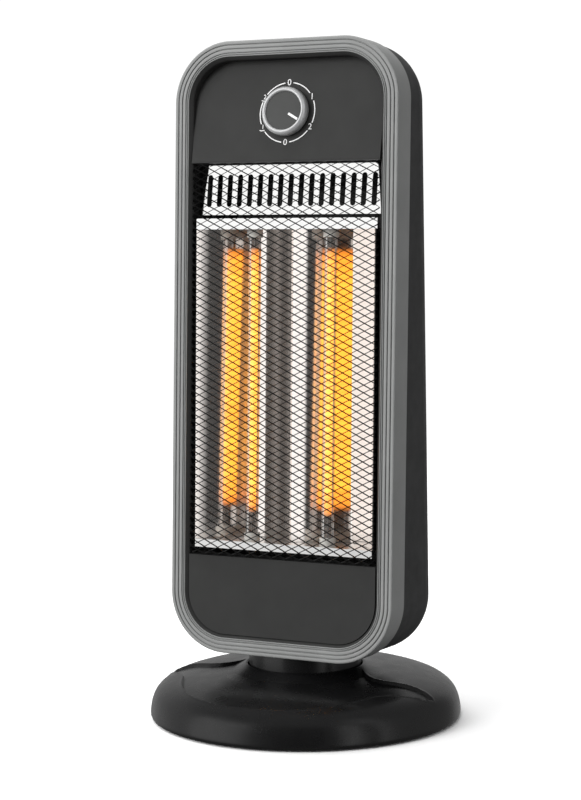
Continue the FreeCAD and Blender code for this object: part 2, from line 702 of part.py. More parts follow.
mesh = face.Faces[0].extrude(Vec(0, gt, 0))
guard = guard.fuse(mesh).removeSplitter()
node(feature("guard_mesh", guard.Solids[0], tower(0, 0, gmid)), "wire_guard")

# ---------------------------------------------------------------- vent plate
vb = body("vent_plate_body", tower(0, val("vplate_d"), val("vplate_low"), Rot(Vec(1, 0, 0), -val("vplate_tilt"))))
s = sketch(vb, "vent_outline", "XZ_Plane")
vh2 = dim("vplate_high") - "vplate_low"
sk_poly(s, [(-dim("vplate_low_w"), 0.0), ("vplate_low_w", 0.0), ("vplate_high_w", vh2), (-dim("vplate_high_w"), vh2)])
f = grow(vb, "Pad", "vent_sheet", s, "vplate_t", True)
vol = f.Shape.Volume
s = sketch(vb, "vent_slot", "XZ_Plane")
x0 = -(dim("slot_pitch") * (dim("slot_count") - 1.0) / 2.0)
sw, sl2, sm = dim("slot_w") / 2, dim("slot_len") / 2, dim("slot_mid")
gA = s.addGeometry(Part.ArcOfCircle(Part.Circle(Vec(x0.value, sm.value + sl2.value - sw.value, 0), Vec(0, 0, 1), sw.value), 0, math.pi), False)
gB = s.addGeometry(Part.ArcOfCircle(Part.Circle(Vec(x0.value, sm.value - sl2.value + sw.value, 0), Vec(0, 0, 1), sw.value), math.pi, 2 * math.pi), False)
gL = s.addGeometry(Part.LineSegment(Vec(x0.value - sw.value, sm.value + sl2.value - sw.value, 0), Vec(x0.value - sw.value, sm.value - sl2.value + sw.value, 0)), False)
gR = s.addGeometry(Part.LineSegment(Vec(x0.value + sw.value, sm.value - sl2.value + sw.value, 0), Vec(x0.value + sw.value, sm.value + sl2.value - sw.value, 0)), False)
for a, pa, b2, pb in ((gA, 2, gL, 1), (gL, 2, gB, 1), (gB, 2, gR, 1), (gR, 2, gA, 1)):
    s.addConstraint(Sketcher.Constraint("Tangent", a, pa, b2, pb))
s.addConstraint(Sketcher.Constraint("Vertical", gL))
con(s, sw, "Radius", gA)
con(s, -x0, "DistanceX", gA, 3, -1, 1)
con(s, sm + sl2 - sw, "DistanceY", -1, 1, gA, 3)
con(s, sm - sl2 + sw, "DistanceY", -1, 1, gB, 3)
f = grow(vb, "Pocket", "vent_slot_cut", s, 5.0)
assert f.Shape.Volume < vol - 50
lp = vb.newObject("PartDesign::LinearPattern", "vent_slots")
lp.Originals = [f]
lp.Direction = (s, ["H_Axis"])
bind(lp, "Length", dim("slot_pitch") * (dim("slot_count") - 1.0))
lp.setExpression("Occurrences", dim("slot_count").text)
vb.Tip = lp
doc.recompute()
node(vb, "vent_plate")

# ---------------------------------------------------------------- reflector
half, mid_u = val("refl_half"), val("refl_vertex_u")
dv, de, dr, pw, pw2 = val("refl_vertex"), val("refl_ridge"), val("refl_rim"), val("refl_power"), val("refl_power_out")
th = val("sheet_t")


def trough(u):
    if u < mid_u:
        return dv - (dv - de) * ((mid_u - u) / mid_u) ** pw
    return dv - (dv - dr) * ((u - mid_u) / (half - mid_u)) ** pw2


def offset_pts(pts, t):
    out = []
    for i, (x, y) in enumerate(pts):
        a = pts[max(i - 1, 0)]
        b2 = pts[min(i + 1, len(pts) - 1)]
        tx, ty = b2[0] - a[0], b2[1] - a[1]
        ln = math.hypot(tx, ty)
        out.append((x - ty / ln * t, y + tx / ln * t))
    return out


wave = [0.5 - 0.5 * math.cos(math.pi * k / 12.0) for k in range(13)]
us = [mid_u * w for w in wave] + [mid_u + (half - mid_u) * w for w in wave[1:]]
front = [(u, trough(u)) for u in us]
back = offset_pts(front, th)
back[0] = (0.0, back[0][1] + (back[1][1] - back[0][1]) / (back[1][0] - back[0][0]) * (0.0 - back[0][0]))
lo = val("refl_low")
edges = []
for sgn in (1, -1):
    fr = [(sgn * x, y, 0) for x, y in front]
    bk = [(sgn * x, y, 0) for x, y in back]
    edges += [spline_edge(fr), Part.makeLine(Vec(*fr[-1]), Vec(*bk[-1])), spline_edge(bk)]
prof = Part.Wire(Part.__sortEdges__(edges))
refl = Part.Face(prof).extrude(Vec(0, 0, val("refl_high") - lo - 2.0))
node(feature("reflector_sheet", refl, tower(0, val("refl_shift"), lo + 1.0, Rot(Vec(1, 0, 0), val("refl_lean")))), "reflector")


def end_plate(name, v_plate, v_lip, lip_high, label):
    wide, narrow, step = (82.3 if label == "reflector_top" else 81.0), val("window_half_w") - 0.4, val("rail_d") - 0.5
    flat = box(name + "_flat", 2 * wide, step - val("lip_d"), "sheet_t", tower(-wide, val("lip_d"), v_plate))
    rear = box(name + "_rear", 2 * narrow, dim("refl_vertex") - step + 6.9, "sheet_t", tower(-narrow, step, v_plate))
    lip = box(name + "_lip", 2 * wide, "sheet_t", lip_high, tower(-wide, val("lip_d"), v_lip))
    both = fuse(name + "_both", [flat, rear, lip])
    holes = fuse(name + "_holes", [cyl(name + "_hole%d" % k, "cap_r", 20.0, tower(sg * val("tube_u"), val("tube_d"), v_plate - 10)) for k, sg in enumerate((1, -1))])
    return node(cut(name + "_cut", both, holes), label)


end_plate("refl_top", val("refl_high"), val("refl_high"), dim("lip_high") - "refl_high", "reflector_top")
end_plate("refl_bottom", lo - th, val("lip_low"), dim("refl_low") - "lip_low", "reflector_bottom")

# ---------------------------------------------------------------- quartz tubes, elements and ceramic ends
tl, thigh = dim("tube_low"), dim("tube_high")
caps, clips = [], []
for side, sg in (("right", 1), ("left", -1)):
    at = lambda v: tower(sg * val("tube_u"), val("tube_d"), v)
    o = cyl("tube_out_" + side, "tube_r", thigh - tl, at(tl.value))
    i = cyl("tube_in_" + side, "tube_bore", thigh - tl + 2.0, at(tl.value - 1))
    node(cut("tube_" + side, o, i), "quartz_tube_" + side)
    rod = cyl("fil_rod_" + side, "fil_r", dim("fil_high") - "fil_low", at(val("fil_low")))
    lead = cyl("fil_lead_" + side, "lead_r", thigh - tl + 6.0, at(tl.value - 3))
    node(fuse("fil_" + side, [rod, lead]), "filament_" + side)
doc.recompute()
cl = val("cap_len")
for sg in (1, -1):
    for end, v, open_v in (("low", val("tube_low") + 4.0 - cl, val("tube_low")), ("high", val("tube_high") - 4.0, val("tube_high") - 4.0)):
        c = Part.makeCylinder(val("cap_r"), cl)
        sock = Part.makeCylinder(val("tube_r"), 4.0, Vec(0, 0, cl - 4.0 if end == "low" else 0.0))
        bore = Part.makeCylinder(val("lead_r"), cl + 2, Vec(0, 0, -1))
        c = c.cut(sock).cut(bore)
        c.Placement = tower(sg * val("tube_u"), val("tube_d"), v)
        caps.append(c)
        ring = Part.makeCylinder(val("cap_r") + 0.8, 5.0).cut(Part.makeCylinder(val("cap_r"), 5.0))
        ear = Part.makeBox(9.0, 6.0, 0.8, Vec(val("cap_r") + 0.4, -3.0, 0.0 if end == "high" else 4.2))
        ring = ring.fuse(ear)
        ring.Placement = tower(sg * val("tube_u"), val("tube_d"), (val("refl_high") + th) if end == "high" else (lo - th - 5.0))
        clips.append(ring)
node(feature("cap_set", Part.makeCompound(caps)), "tube_caps")
node(feature("clip_set", Part.makeCompound(clips)), "tube_clips")

# ---------------------------------------------------------------- heat shield and thermal cut-out behind the reflector
sd, sw2 = dim("shield_d"), dim("shield_half_w")
top_v, low_v = val("refl_high") + th, lo - 2 * th
back_sheet = box("shield_back", sw2 * 2, "sheet_t", top_v + th - low_v, tower(-sw2.value, sd.value, low_v))
top_tab = box("shield_top", 44.0, 24.0, "sheet_t", tower(-22, sd.value - 23.6, top_v))
low_tab = box("shield_low", 44.0, 24.0, "sheet_t", tower(-22, sd.value - 23.6, low_v))
node(fuse("shield_done", [back_sheet, top_tab, low_tab]), "heat_shield")
cup1 = cyl("cutout_cup", 8.0, 6.0, tower(0, sd.value + th, 312.0, TO_BACK))
cup2 = cyl("cutout_base", 6.0, 4.0, tower(0, sd.value + th + 6.0, 312.0, TO_BACK))
ears = box("cutout_ears", 34.0, 0.8, 9.0, tower(-17, sd.value + th, 307.5))
node(fuse("cutout_done", [cup1, cup2, ears]), "thermal_cutout")
sc = fuse("shield_screw", [cyl("shield_screw_head", 2.8, 1.8, Pla(Vec(0, 0, 0), Rot())), cyl("shield_screw_shank", 1.4, 5.0, Pla(Vec(0, 0, -5.0), Rot()))])
doc.recompute()
shield_places = [tower(sx * 7.0, sd.value - 14.0, v, r) for sx in (1, -1) for v, r in ((top_v + th, Rot()), (low_v, Rot(Vec(1, 0, 0), 180)))]
node(copies("shield_screw_set", sc.Shape, shield_places), "shield_screws")
for label in ("heat_shield", "reflector_top", "reflector_bottom"):
    plain = NODES[label]
    holes = [cyl(label + "_screw%d" % k, 1.4, 14.0, tower(sx * 7.0, sd.value - 14.0, v)) for k, (sx, v) in enumerate(((1, top_v - 7), (-1, top_v - 7), (1, low_v - 7), (-1, low_v - 7)))]
    plain.Label = label + "_plain"
    node(cut(label + "_drilled", plain, fuse(label + "_screw_holes", holes)), label)

# ---------------------------------------------------------------- rotary switch, nut and knob
side = val("switch_side")
blk = box("switch_block", "switch_side", "switch_deep", "switch_side", PANEL.multiply(Pla(Vec(-side / 2, val("panel_t") + 0.8, -side / 2), Rot())))
collar = cyl("switch_bush", "bush_r", 5.2, PANEL.multiply(Pla(Vec(0, -2.2, 0), TO_BACK)))
tabs = box("switch_tabs", 24.0, 7.0, 0.8, PANEL.multiply(Pla(Vec(-12, val("panel_t") + 0.8 + val("switch_deep"), -8), Rot())))
tabs2 = box("switch_tabs2", 24.0, 7.0, 0.8, PANEL.multiply(Pla(Vec(-12, val("panel_t") + 0.8 + val("switch_deep"), 8), Rot())))
spin = cyl("switch_bore", "shaft_bore", 16.6, PANEL.multiply(Pla(Vec(0, -2.4, 0), TO_BACK)))
node(cut("switch_done", fuse("switch_solid", [blk, collar, tabs, tabs2]), spin), "rotary_switch")
hexa = doc.addObject("Part::Prism", "nut_hex")
hexa.Polygon = 6
hexa.Circumradius = 7.4
hexa.Height = 2.0
hexa.Placement = DIAL
node(cut("nut_done", hexa, cyl("nut_hole", "bush_r", 4.0, DIAL.multiply(Pla(Vec(0, 0, -1), Rot())))), "switch_nut")
kr, kc, kg, kf, kh, kfr = (dim(k) for k in ("knob_r", "knob_core_r", "knob_gap", "knob_floor", "knob_high", "knob_face_r"))
shr = dim("shaft_r")
node(turned("knob_core", [(shr, 4.0), (9.6, 4.0), (9.6, kg), (kc, kg), (kc, kf), (shr, kf)], DIAL), "knob_body")
node(turned("knob_rim", [(kc, 1.2), (kr, 1.2), (kr, 6.3), (kr - 0.35, 7.1), (kr - 2.1, kh), (kfr + 0.7, kh), (kfr + 0.1, kh - 0.6), (kfr + 0.1, kf), (kc, kf)], DIAL), "knob_ring")
node(turned("knob_disc", [(0.0, kf), (kfr, kf), (kfr, kf + 0.9), (kfr - 0.4, kf + 1.1), (0.0, kf + 1.1)], DIAL), "knob_face")
pa = math.radians(90 - 120)
node(box("pointer_bar", 9.6, 1.9, 0.35, DIAL.multiply(Pla(Vec(0, 0, 0), Rot(Vec(0, 0, 1), -30))).multiply(Pla(Vec(5.6, -0.85, val("knob_floor") + 1.1), Rot()))), "knob_pointer")
node(cyl("shaft_rod", "shaft_r", kf + 13.0, DIAL.multiply(Pla(Vec(0, 0, -13.0), Rot()))), "switch_shaft")

# ---------------------------------------------------------------- neck
nr, nl = val("neck_r"), val("neck_low")
skirt = Part.makeCylinder(nr, 44.0, Vec(0, 0, nl))
skirt = skirt.cut(Part.makeCylinder(val("neck_wall_r"), val("neck_roof") - nl, Vec(0, 0, nl)))
bezel_block = ring_prism(val("bezel_half_w"), h0, val("bezel_corner"), -20.0, d_seam + 0.2)
bezel_block.Placement = MID
above = Part.makeBox(300, 300, 100, Vec(-150, -150, 66))
skirt = skirt.cut([bezel_block, rear_block, above])
skirt = max(skirt.Solids, key=lambda sld: sld.Volume)
slope = Part.Face(Part.makePolygon([Vec(-80, nr + 1, 49), Vec(-80, 28, 66), Vec(-80, 28, 90), Vec(-80, nr + 1, 90), Vec(-80, nr + 1, 49)])).extrude(Vec(160, 0, 0))
skirt = skirt.cut(slope)
skirt = skirt.cut(Part.makeCylinder(val("wire_hole_r"), 60, Vec(0, 0, 30)))
drill = []
for x, d in NECK_SCREWS:
    c = Part.makeCylinder(2.0, 60, Vec(x, d, -30), Vec(0, 0, 1))
    c.Placement = TOWER.multiply(c.Placement)
    drill.append(c)
skirt = skirt.cut(drill).removeSplitter()
node(feature("neck_solid", skirt.Solids[0]), "neck_skirt")
sr2, wr, dl, dt, drr = (dim(k) for k in ("spindle_r", "wire_hole_r", "disc_low", "disc_t", "disc_r"))
spindle = turned("spindle_turned", [(wr, "spindle_low"), (sr2, "spindle_low"), (sr2, dl), (drr, dl), (drr, dl + dt), (wr, dl + dt)], Pla())
drill_obj = feature("spindle_drill", Part.makeCompound(drill))
node(cut("spindle_done", spindle, drill_obj), "swivel_spindle")
bracket = box("bracket_plate", 72.0, 30.5, 2.4, tower(-36, 31.0, val("rear_inset") + t_rear))
hole1 = cyl("bracket_way", "wire_hole_r", 60.0, Pla(Vec(0, 0, 30), Rot()))
node(cut("bracket_done", cut("bracket_way_cut", bracket, hole1), feature("bracket_drill", Part.makeCompound(drill))), "bottom_bracket")
top_b = val("rear_inset") + t_rear + 2.4
nsc = fuse("neck_screw", [cyl("neck_screw_head", 3.6, 2.6, Pla(Vec(0, 0, 0), Rot())), cyl("neck_screw_shank", 2.0, 24.0, Pla(Vec(0, 0, -24.0), Rot()))])
doc.recompute()
node(copies("neck_screw_set", nsc.Shape, [tower(x, d, top_b) for x, d in NECK_SCREWS]), "neck_screws")
bo, bb2, wf, wu = (dim(k) for k in ("bush_out", "bush_bore", "well_floor", "well_under"))
node(turned("bush_turned", [(bb2, wu - 0.5), (bo, wu - 0.5), (bo, wf), (44.0, wf), (44.0, wf + 1.4), (bb2, wf + 1.4)], Pla()), "swivel_bush")
node(turned("clip_turned", [(sr2, "spindle_low"), (19.0, "spindle_low"), (19.0, dim("gear_low") - 0.4), (sr2, dim("gear_low") - 0.4)], Pla()), "retaining_ring")


# ---------------------------------------------------------------- oscillation drive
def tooth_flank(r, teeth, module, angle, slack):
    """Half angle of a tooth at radius r."""
    rp = module * teeth / 2.0
    rb = rp * math.cos(angle)
    phi = math.acos(min(1.0, rb / max(r, rb)))
    inv = lambda a: math.tan(a) - a
    return math.pi / (2 * teeth) - slack / rp + inv(angle) - inv(phi)


def gear_face(teeth, module, angle, slack, middles, low_r, closed):
    """Edges of the toothed outline; middles are the tooth directions."""
    rp = module * teeth / 2.0
    rb, ra, rf = rp * math.cos(angle), rp + module, rp - 1.25 * module
    edges, last = [], None
    first = None
    for a in middles:
        r0 = max(rb, rf)
        rs = [r0 + (ra - r0) * k / 6.0 for k in range(7)]
        right = [(r * math.cos(a - tooth_flank(r, teeth, module, angle, slack)), r * math.sin(a - tooth_flank(r, teeth, module, angle, slack)), 0) for r in rs]
        left = [(r * math.cos(a + tooth_flank(r, teeth, module, angle, slack)), r * math.sin(a + tooth_flank(r, teeth, module, angle, slack)), 0) for r in reversed(rs)]
        if rb > rf:
            q = tooth_flank(rb, teeth, module, angle, slack)
            foot_r, foot_l = (rf * math.cos(a - q), rf * math.sin(a - q), 0), (rf * math.cos(a + q), rf * math.sin(a + q), 0)
        else:
            foot_r, foot_l = right[0], left[-1]
        if last is not None:
            edges.append(Part.makeLine(Vec(*last), Vec(*foot_r)))
        else:
            first = foot_r
        if rb > rf:
            edges.append(Part.makeLine(Vec(*foot_r), Vec(*right[0])))
        edges.append(spline_edge(right))
        edges.append(Part.makeLine(Vec(*right[-1]), Vec(*left[0])))
        edges.append(spline_edge(left))
        if rb > rf:
            edges.append(Part.makeLine(Vec(*left[-1]), Vec(*foot_l)))
        last = foot_l
    if closed:
        edges.append(Part.makeLine(Vec(*last), Vec(*first)))
    return edges, first, last


mod, ang, slack = val("gear_module"), math.radians(val("gear_angle")), val("gear_slack")
zt, zp = int(val("gear_teeth")), int(val("pinion_teeth"))
mids = [math.radians(90.0 + 360.0 / zt * k) for k in range(-8, 9)]
ed, first, last = gear_face(zt, mod, ang, slack, mids, 0, False)
r_hub = 20.5
a0, a1 = math.atan2(first[1], first[0]) - 0.02, math.atan2(last[1], last[0]) + 0.02
rr = math.hypot(first[0], first[1])
p0, p1 = Vec(rr * math.cos(a0), rr * math.sin(a0), 0), Vec(rr * math.cos(a1), rr * math.sin(a1), 0)
q0, q1 = Vec(8 * math.cos(a0), 8 * math.sin(a0), 0), Vec(8 * math.cos(a1), 8 * math.sin(a1), 0)
ed = [Part.makeLine(p0, Vec(*first))] + ed + [Part.makeLine(Vec(*last), p1), Part.makeLine(p1, q1), Part.makeLine(q1, q0), Part.makeLine(q0, p0)]
web = Part.Face(Part.Wire(Part.__sortEdges__(ed))).extrude(Vec(0, 0, val("gear_t")))
hub = Part.makeCylinder(r_hub, val("gear_t"))
sector = web.fuse(hub).cut(Part.makeCylinder(val("spindle_r"), 30, Vec(0, 0, -5))).removeSplitter()
node(feature("sector_solid", sector.Solids[0], Pla(Vec(0, 0, val("gear_low")), Rot())), "sector_gear")
centre = mod * (zt + zp) / 2.0
mids = [math.radians(-90.0 + 180.0 / zp + 360.0 / zp * k) for k in range(zp)]
ed, first, last = gear_face(zp, mod, ang, slack, mids, 0, True)
pin = Part.Face(Part.Wire(Part.__sortEdges__(ed))).extrude(Vec(0, 0, val("gear_t") + 0.4))
pin = pin.fuse(Part.makeCylinder(2.5, 9.0 + val("gear_t"), Vec(0, 0, -9.0))).removeSplitter()
node(feature("pinion_solid", pin.Solids[0], Pla(Vec(0, centre, val("gear_low") - 0.2), Rot())), "motor_pinion")
plate_top = val("base_low") + val("plate_t")
mot = cyl("motor_can", "motor_r", "motor_high", Pla(Vec(0, centre, plate_top), Rot()))
mot_boss = cyl("motor_boss", 6.5, 1.8, Pla(Vec(0, centre, plate_top + val("motor_high")), Rot()))
mot_ear = box("motor_ears", 76.0, 11.0, 2.0, Pla(Vec(-38, centre - 5.5, plate_top), Rot()))
mot_bore = cyl("motor_bore", 2.56, 12.0, Pla(Vec(0, centre, val("gear_low") - 9.6), Rot()))
ear_holes = fuse("motor_ear_holes", [cyl("motor_ear_hole%d" % k, 1.5, 6.0, Pla(Vec(x, centre, plate_top - 2), Rot())) for k, x in enumerate((32.0, -32.0))])
node(cut("motor_done", cut("motor_bored", fuse("motor_solid", [mot, mot_boss, mot_ear]), mot_bore), ear_holes), "osc_motor")
msc = fuse("motor_screw", [cyl("motor_screw_head", 3.0, 1.8, Pla(Vec(0, 0, 0), Rot())), cyl("motor_screw_shank", 1.5, 4.0, Pla(Vec(0, 0, -4.0), Rot()))])
doc.recompute()
node(copies("motor_screw_set", msc.Shape, [Pla(Vec(x, centre, plate_top + 2.0), Rot()) for x in (32.0, -32.0)]), "motor_screws")

# ---------------------------------------------------------------- base cover
k_r = val("base_r") / 130.5
low_z = val("base_low")
DOME = [(129.6, low_z), (130.5, 4.4), (129.85, 10.7), (128.4, 16.4), (126.0, 21.4), (122.0, 25.9), (116.0, 29.9), (108.0, 32.9), (98.0, 35.7),
        (86.0, 37.8), (74.0, 39.4), (66.0, 40.2), (58.0, 41.3), (53.0, 42.6), (50.2, val("collar_top"))]
INSIDE = [(54.0, 36.6), (66.0, 35.4), (74.0, 34.6), (86.0, 33.0), (98.0, 30.9), (108.0, 28.1), (114.0, 25.4), (119.0, 22.2), (122.5, 18.6), (125.2, 14.4), (126.9, 9.6), (127.5, 4.6), (127.2, low_z)]
dome = [(r * k_r, 0, z) for r, z in DOME]
inside = [(r * k_r, 0, z) for r, z in INSIDE]
cr, ct, wfz, wuz, bor = val("collar_r"), val("collar_top"), val("well_floor"), val("well_under"), val("bush_out")
line = [dome[-1], (cr, 0, ct), (cr, 0, wfz), (bor, 0, wfz), (bor, 0, wuz), (51.4, 0, wuz), (51.4, 0, 36.0), inside[0]]
ed = [spline_edge(dome)] + [Part.makeLine(Vec(*a), Vec(*b2)) for a, b2 in zip(line[:-1], line[1:])] + [spline_edge(inside), Part.makeLine(Vec(*inside[-1]), Vec(*dome[0]))]
cover = Part.Face(Part.Wire(Part.__sortEdges__(ed))).revolve(Vec(0, 0, 0), Vec(0, 0, 1), 360)
cover = Part.Solid(cover.Shells[0]) if cover.ShapeType != "Solid" else cover
# leaf-shaped recess round the front of the neck
drop = val("leaf_drop")
SUNK = [(126.5, 17.6), (124.0, 21.4), (121.0, 24.6), (116.0, 29.9 - drop), (108.0, 32.9 - drop), (98.0, 35.7 - drop), (86.0, 37.8 - drop), (74.0, 39.4 - drop), (66.0, 40.2 - drop), (60.0, 38.9), (56.0, 40.2), (53.0, 42.0), (50.6, ct + 0.2)]
sunk = [(r * k_r, 0, z) for r, z in SUNK]
ed = [spline_edge(sunk)] + [Part.makeLine(Vec(*a), Vec(*b2)) for a, b2 in zip([sunk[-1], (0, 0, ct + 0.2), (0, 0, 0), (sunk[0][0], 0, 0)], [(0, 0, ct + 0.2), (0, 0, 0), (sunk[0][0], 0, 0), sunk[0]])]
keep = Part.Face(Part.Wire(Part.__sortEdges__(ed))).revolve(Vec(0, 0, 0), Vec(0, 0, 1), 360)
keep = Part.Solid(keep.Shells[0]) if keep.ShapeType != "Solid" else keep
LEAF_FRONT = [(0, -115.5), (16, -114.5), (31, -110.9), (48, -103.4), (62, -93.0), (73, -80.5), (81, -67.0), (87.5, -54.0), (96, -42.5), (106.5, -33.0), (115.0, -24.5), (121.8, -13.6)]
LEAF_BACK = [(121.8, -13.6), (119.2, -12.2), (112, -10.9), (100.5, -11.9), (89, -15.6), (78.8, -18.6), (68.5, -17.0), (58.5, -8.0), (50, 4.0), (44, 8.0)]
mirror_front = [(-x, y) for x, y in reversed(LEAF_FRONT[1:])]
front_pts = [(x * k_r, y * k_r, 0) for x, y in mirror_front + LEAF_FRONT]
right_pts = [(x * k_r, y * k_r, 0) for x, y in LEAF_BACK]
left_pts = [(-x, y, 0) for x, y, z in right_pts]
ed = [spline_edge(front_pts), spline_edge(right_pts), Part.makeLine(Vec(*right_pts[-1]), Vec(*left_pts[-1])), spline_edge(left_pts)]
leaf = Part.Face(Part.Wire(Part.__sortEdges__(ed))).extrude(Vec(0, 0, 50))
cover = cover.cut(leaf.cut(keep))
post_places = polar(val("post_ring"), 0, 4, 45.0)
posts = []
for p in post_places:
    c = Part.makeCylinder(val("post_r"), 30.0 - plate_top, p.multVec(Vec(0, 0, plate_top)))
    posts.append(c)
gz2 = val("gland_z")
posts.append(Part.makeCylinder(8.8, 10.0, Vec(0, 117.0, gz2), Vec(0, 1, 0)))
cover = cover.fuse(posts)
tools = [Part.makeCylinder(val("screw_r"), 14.0, p.multVec(Vec(0, 0, plate_top))) for p in post_places]
tools.append(Part.makeCylinder(val("gland_r"), 30, Vec(0, 110, gz2), Vec(0, 1, 0)))
tools.append(Part.makeCylinder(8.0, 30, Vec(0, 126.0, gz2), Vec(0, 1, 0)))
cover = cover.cut(tools).removeSplitter()
cover = max(cover.Solids, key=lambda sld: sld.Volume)
node(feature("base_dome", cover), "base_cover")

# ---------------------------------------------------------------- base plate, feet, screws
bp = body("base_plate_body", Pla(Vec(0, 0, low_z), Rot()))
s = sketch(bp, "plate_outline", "XY_Plane")
sk_circle(s, 0.0, 0.0, "plate_r")
f = grow(bp, "Pad", "plate_pad", s, "plate_t")
vol = f.Shape.Volume
s = sketch(bp, "plate_plunger", "XY_Plane", dim("plate_t"))
sk_circle(s, "plunger_x", "plunger_y", "plunger_bore")
sk_circle(s, 32.0, centre, 1.5)
sk_circle(s, -32.0, centre, 1.5)
f = grow(bp, "Pocket", "plate_plunger_hole", s, 10.0)
assert f.Shape.Volume < vol - 50
vol = f.Shape.Volume
s = sketch(bp, "plate_foot", "XY_Plane", dim("plate_t"))
sk_circle(s, "foot_ring", 0.0, "peg_r")
f1 = grow(bp, "Pocket", "plate_foot_hole", s, 10.0)
pp = bp.newObject("PartDesign::PolarPattern", "plate_foot_holes")
pp.Originals = [f1]
pp.Axis = (s, ["N_Axis"])
pp.Angle = 360
pp.Occurrences = 6
bp.Tip = pp
doc.recompute()
s = sketch(bp, "plate_screw", "XY_Plane", dim("plate_t"))
c45 = math.cos(math.radians(45))
sk_circle(s, dim("post_ring") * c45, dim("post_ring") * c45, "screw_r")
f2 = grow(bp, "Pocket", "plate_screw_hole", s, 10.0)
pp2 = bp.newObject("PartDesign::PolarPattern", "plate_screw_holes")
pp2.Originals = [f2]
pp2.Axis = (s, ["N_Axis"])
pp2.Angle = 360
pp2.Occurrences = 4
bp.Tip = pp2
doc.recompute()
assert pp2.Shape.Volume < vol - 250
node(bp, "base_plate")
ft = fuse("foot", [cyl("foot_pad", "foot_r", "base_low", Pla()), cyl("foot_peg", "peg_r", "plate_t", Pla(Vec(0, 0, low_z), Rot()))])
bs = fuse("base_screw", [cyl("base_screw_head", 3.4, 1.2, Pla(Vec(0, 0, low_z - 1.2), Rot())), cyl("base_screw_shank", "screw_r", 13.0, Pla(Vec(0, 0, low_z), Rot()))])
doc.recompute()
node(copies("foot_set", ft.Shape, polar(val("foot_ring"), 0, 6)), "rubber_feet")
node(copies("base_screw_set", bs.Shape, post_places), "base_screws")

# ---------------------------------------------------------------- tip-over cut-out
px, py = val("plunger_x"), val("plunger_y")
fl_z = plate_top + val("plunger_travel") + 0.1
node(turned("plunger_turned", [(0.0, "plunger_low"), ("plunger_r", "plunger_low"), ("plunger_r", fl_z), (7.2, fl_z), (7.2, fl_z + 1.5), (2.0, fl_z + 1.5), (2.0, fl_z + 8.0), (0.0, fl_z + 8.0)], Pla(Vec(px, py, 0), Rot())), "tip_plunger")
house = box("switch_house", 26.0, 22.0, 22.0, Pla(Vec(px - 13, py - 11, plate_top), Rot()))
cavity = box("switch_cavity", 18.0, 18.0, 17.0, Pla(Vec(px - 9, py - 9, plate_top - 0.001), Rot()))
node(cut("tip_switch_done", house, cavity), "tip_switch")
sp_low, sp_high = fl_z + 1.5 + 0.3, plate_top + 17.0 - 0.2
turns = 5.0
coil_pts = [Vec(4.2 * math.cos(2 * math.pi * turns * k / 120), 4.2 * math.sin(2 * math.pi * turns * k / 120), (sp_high - sp_low - 0.9) * k / 120) for k in range(121)]
coil = Part.BSplineCurve()
coil.interpolate(coil_pts)
aim = Rot(Vec(0, 0, 1), coil.tangent(coil.FirstParameter)[0])
prof = Part.makePolygon([coil_pts[0] + aim.multVec(Vec(0.4 * math.cos(math.pi / 4 * k), 0.4 * math.sin(math.pi / 4 * k), 0)) for k in range(9)])
spring = Part.Wire(coil.toShape()).makePipeShell([Part.Wire(prof)], True, True)
spring.Placement = Pla(Vec(px, py, sp_low + 0.45), Rot())
node(feature("spring_coil", spring.Solids[0] if spring.Solids else spring, spring.Placement), "tip_spring")
tb = box("terminal_body", 34.0, 14.0, 12.0, Pla(Vec(43, -60, plate_top), Rot()))
th_holes = fuse("terminal_holes", [cyl("terminal_hole%d" % k, 2.0, 9.0, Pla(Vec(50 + 10 * k, -53, plate_top + 4), Rot())) for k in range(3)])
node(cut("terminal_done", tb, th_holes), "terminal_block")
gr2, gbore = dim("gland_r"), dim("gland_bore")
node(turned("gland_turned", [(gbore, 116.0), (gr2, 116.0), (gr2, 126.0), (7.7, 126.0), (7.7, 128.0), (6.9, 128.8), (gbore, 128.8)], Pla(Vec(0, 0, gz2), TO_BACK)), "cord_gland")

doc.recompute()

# ---------------------------------------------------------------- test and write
bad = [o.Name for o in doc.Objects if ("Invalid" in o.State or "Error" in o.State)]
if bad:
    raise RuntimeError("failed objects: " + ", ".join(bad))
for label, o in NODES.items():
    shp = o.Shape
    if shp.isNull() or not shp.isValid():
        raise RuntimeError("bad shape: " + label)
    if not shp.Solids:
        raise RuntimeError("no solid: " + label)
for label, o in sorted(NODES.items()):
    o.Shape.exportStep("parts/%s.step" % label)
    bb = o.Shape.BoundBox
    print("%-20s solids %d faces %4d vol %9.1f  x %7.2f %7.2f  y %7.2f %7.2f  z %7.2f %7.2f" % (
        label, len(o.Shape.Solids), len(o.Shape.Faces), o.Shape.Volume, bb.XMin, bb.XMax, bb.YMin, bb.YMax, bb.ZMin, bb.ZMax))
print("nodes", len(NODES))
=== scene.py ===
import math

import bmesh
import bpy
import numpy as np
from mathutils import Matrix, Vector


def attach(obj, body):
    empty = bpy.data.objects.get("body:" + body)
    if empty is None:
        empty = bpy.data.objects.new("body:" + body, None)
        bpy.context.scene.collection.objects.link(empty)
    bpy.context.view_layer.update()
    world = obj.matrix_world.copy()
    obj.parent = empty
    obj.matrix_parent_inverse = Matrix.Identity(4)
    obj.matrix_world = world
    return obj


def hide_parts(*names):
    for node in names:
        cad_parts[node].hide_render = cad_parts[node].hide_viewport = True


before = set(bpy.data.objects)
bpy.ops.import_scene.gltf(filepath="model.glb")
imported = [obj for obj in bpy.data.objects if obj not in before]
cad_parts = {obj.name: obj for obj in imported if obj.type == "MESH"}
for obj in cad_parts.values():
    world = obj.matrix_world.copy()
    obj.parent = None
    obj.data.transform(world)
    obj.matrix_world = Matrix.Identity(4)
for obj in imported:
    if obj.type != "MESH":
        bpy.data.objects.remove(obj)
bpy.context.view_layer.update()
scene = bpy.context.scene
MM = 0.001

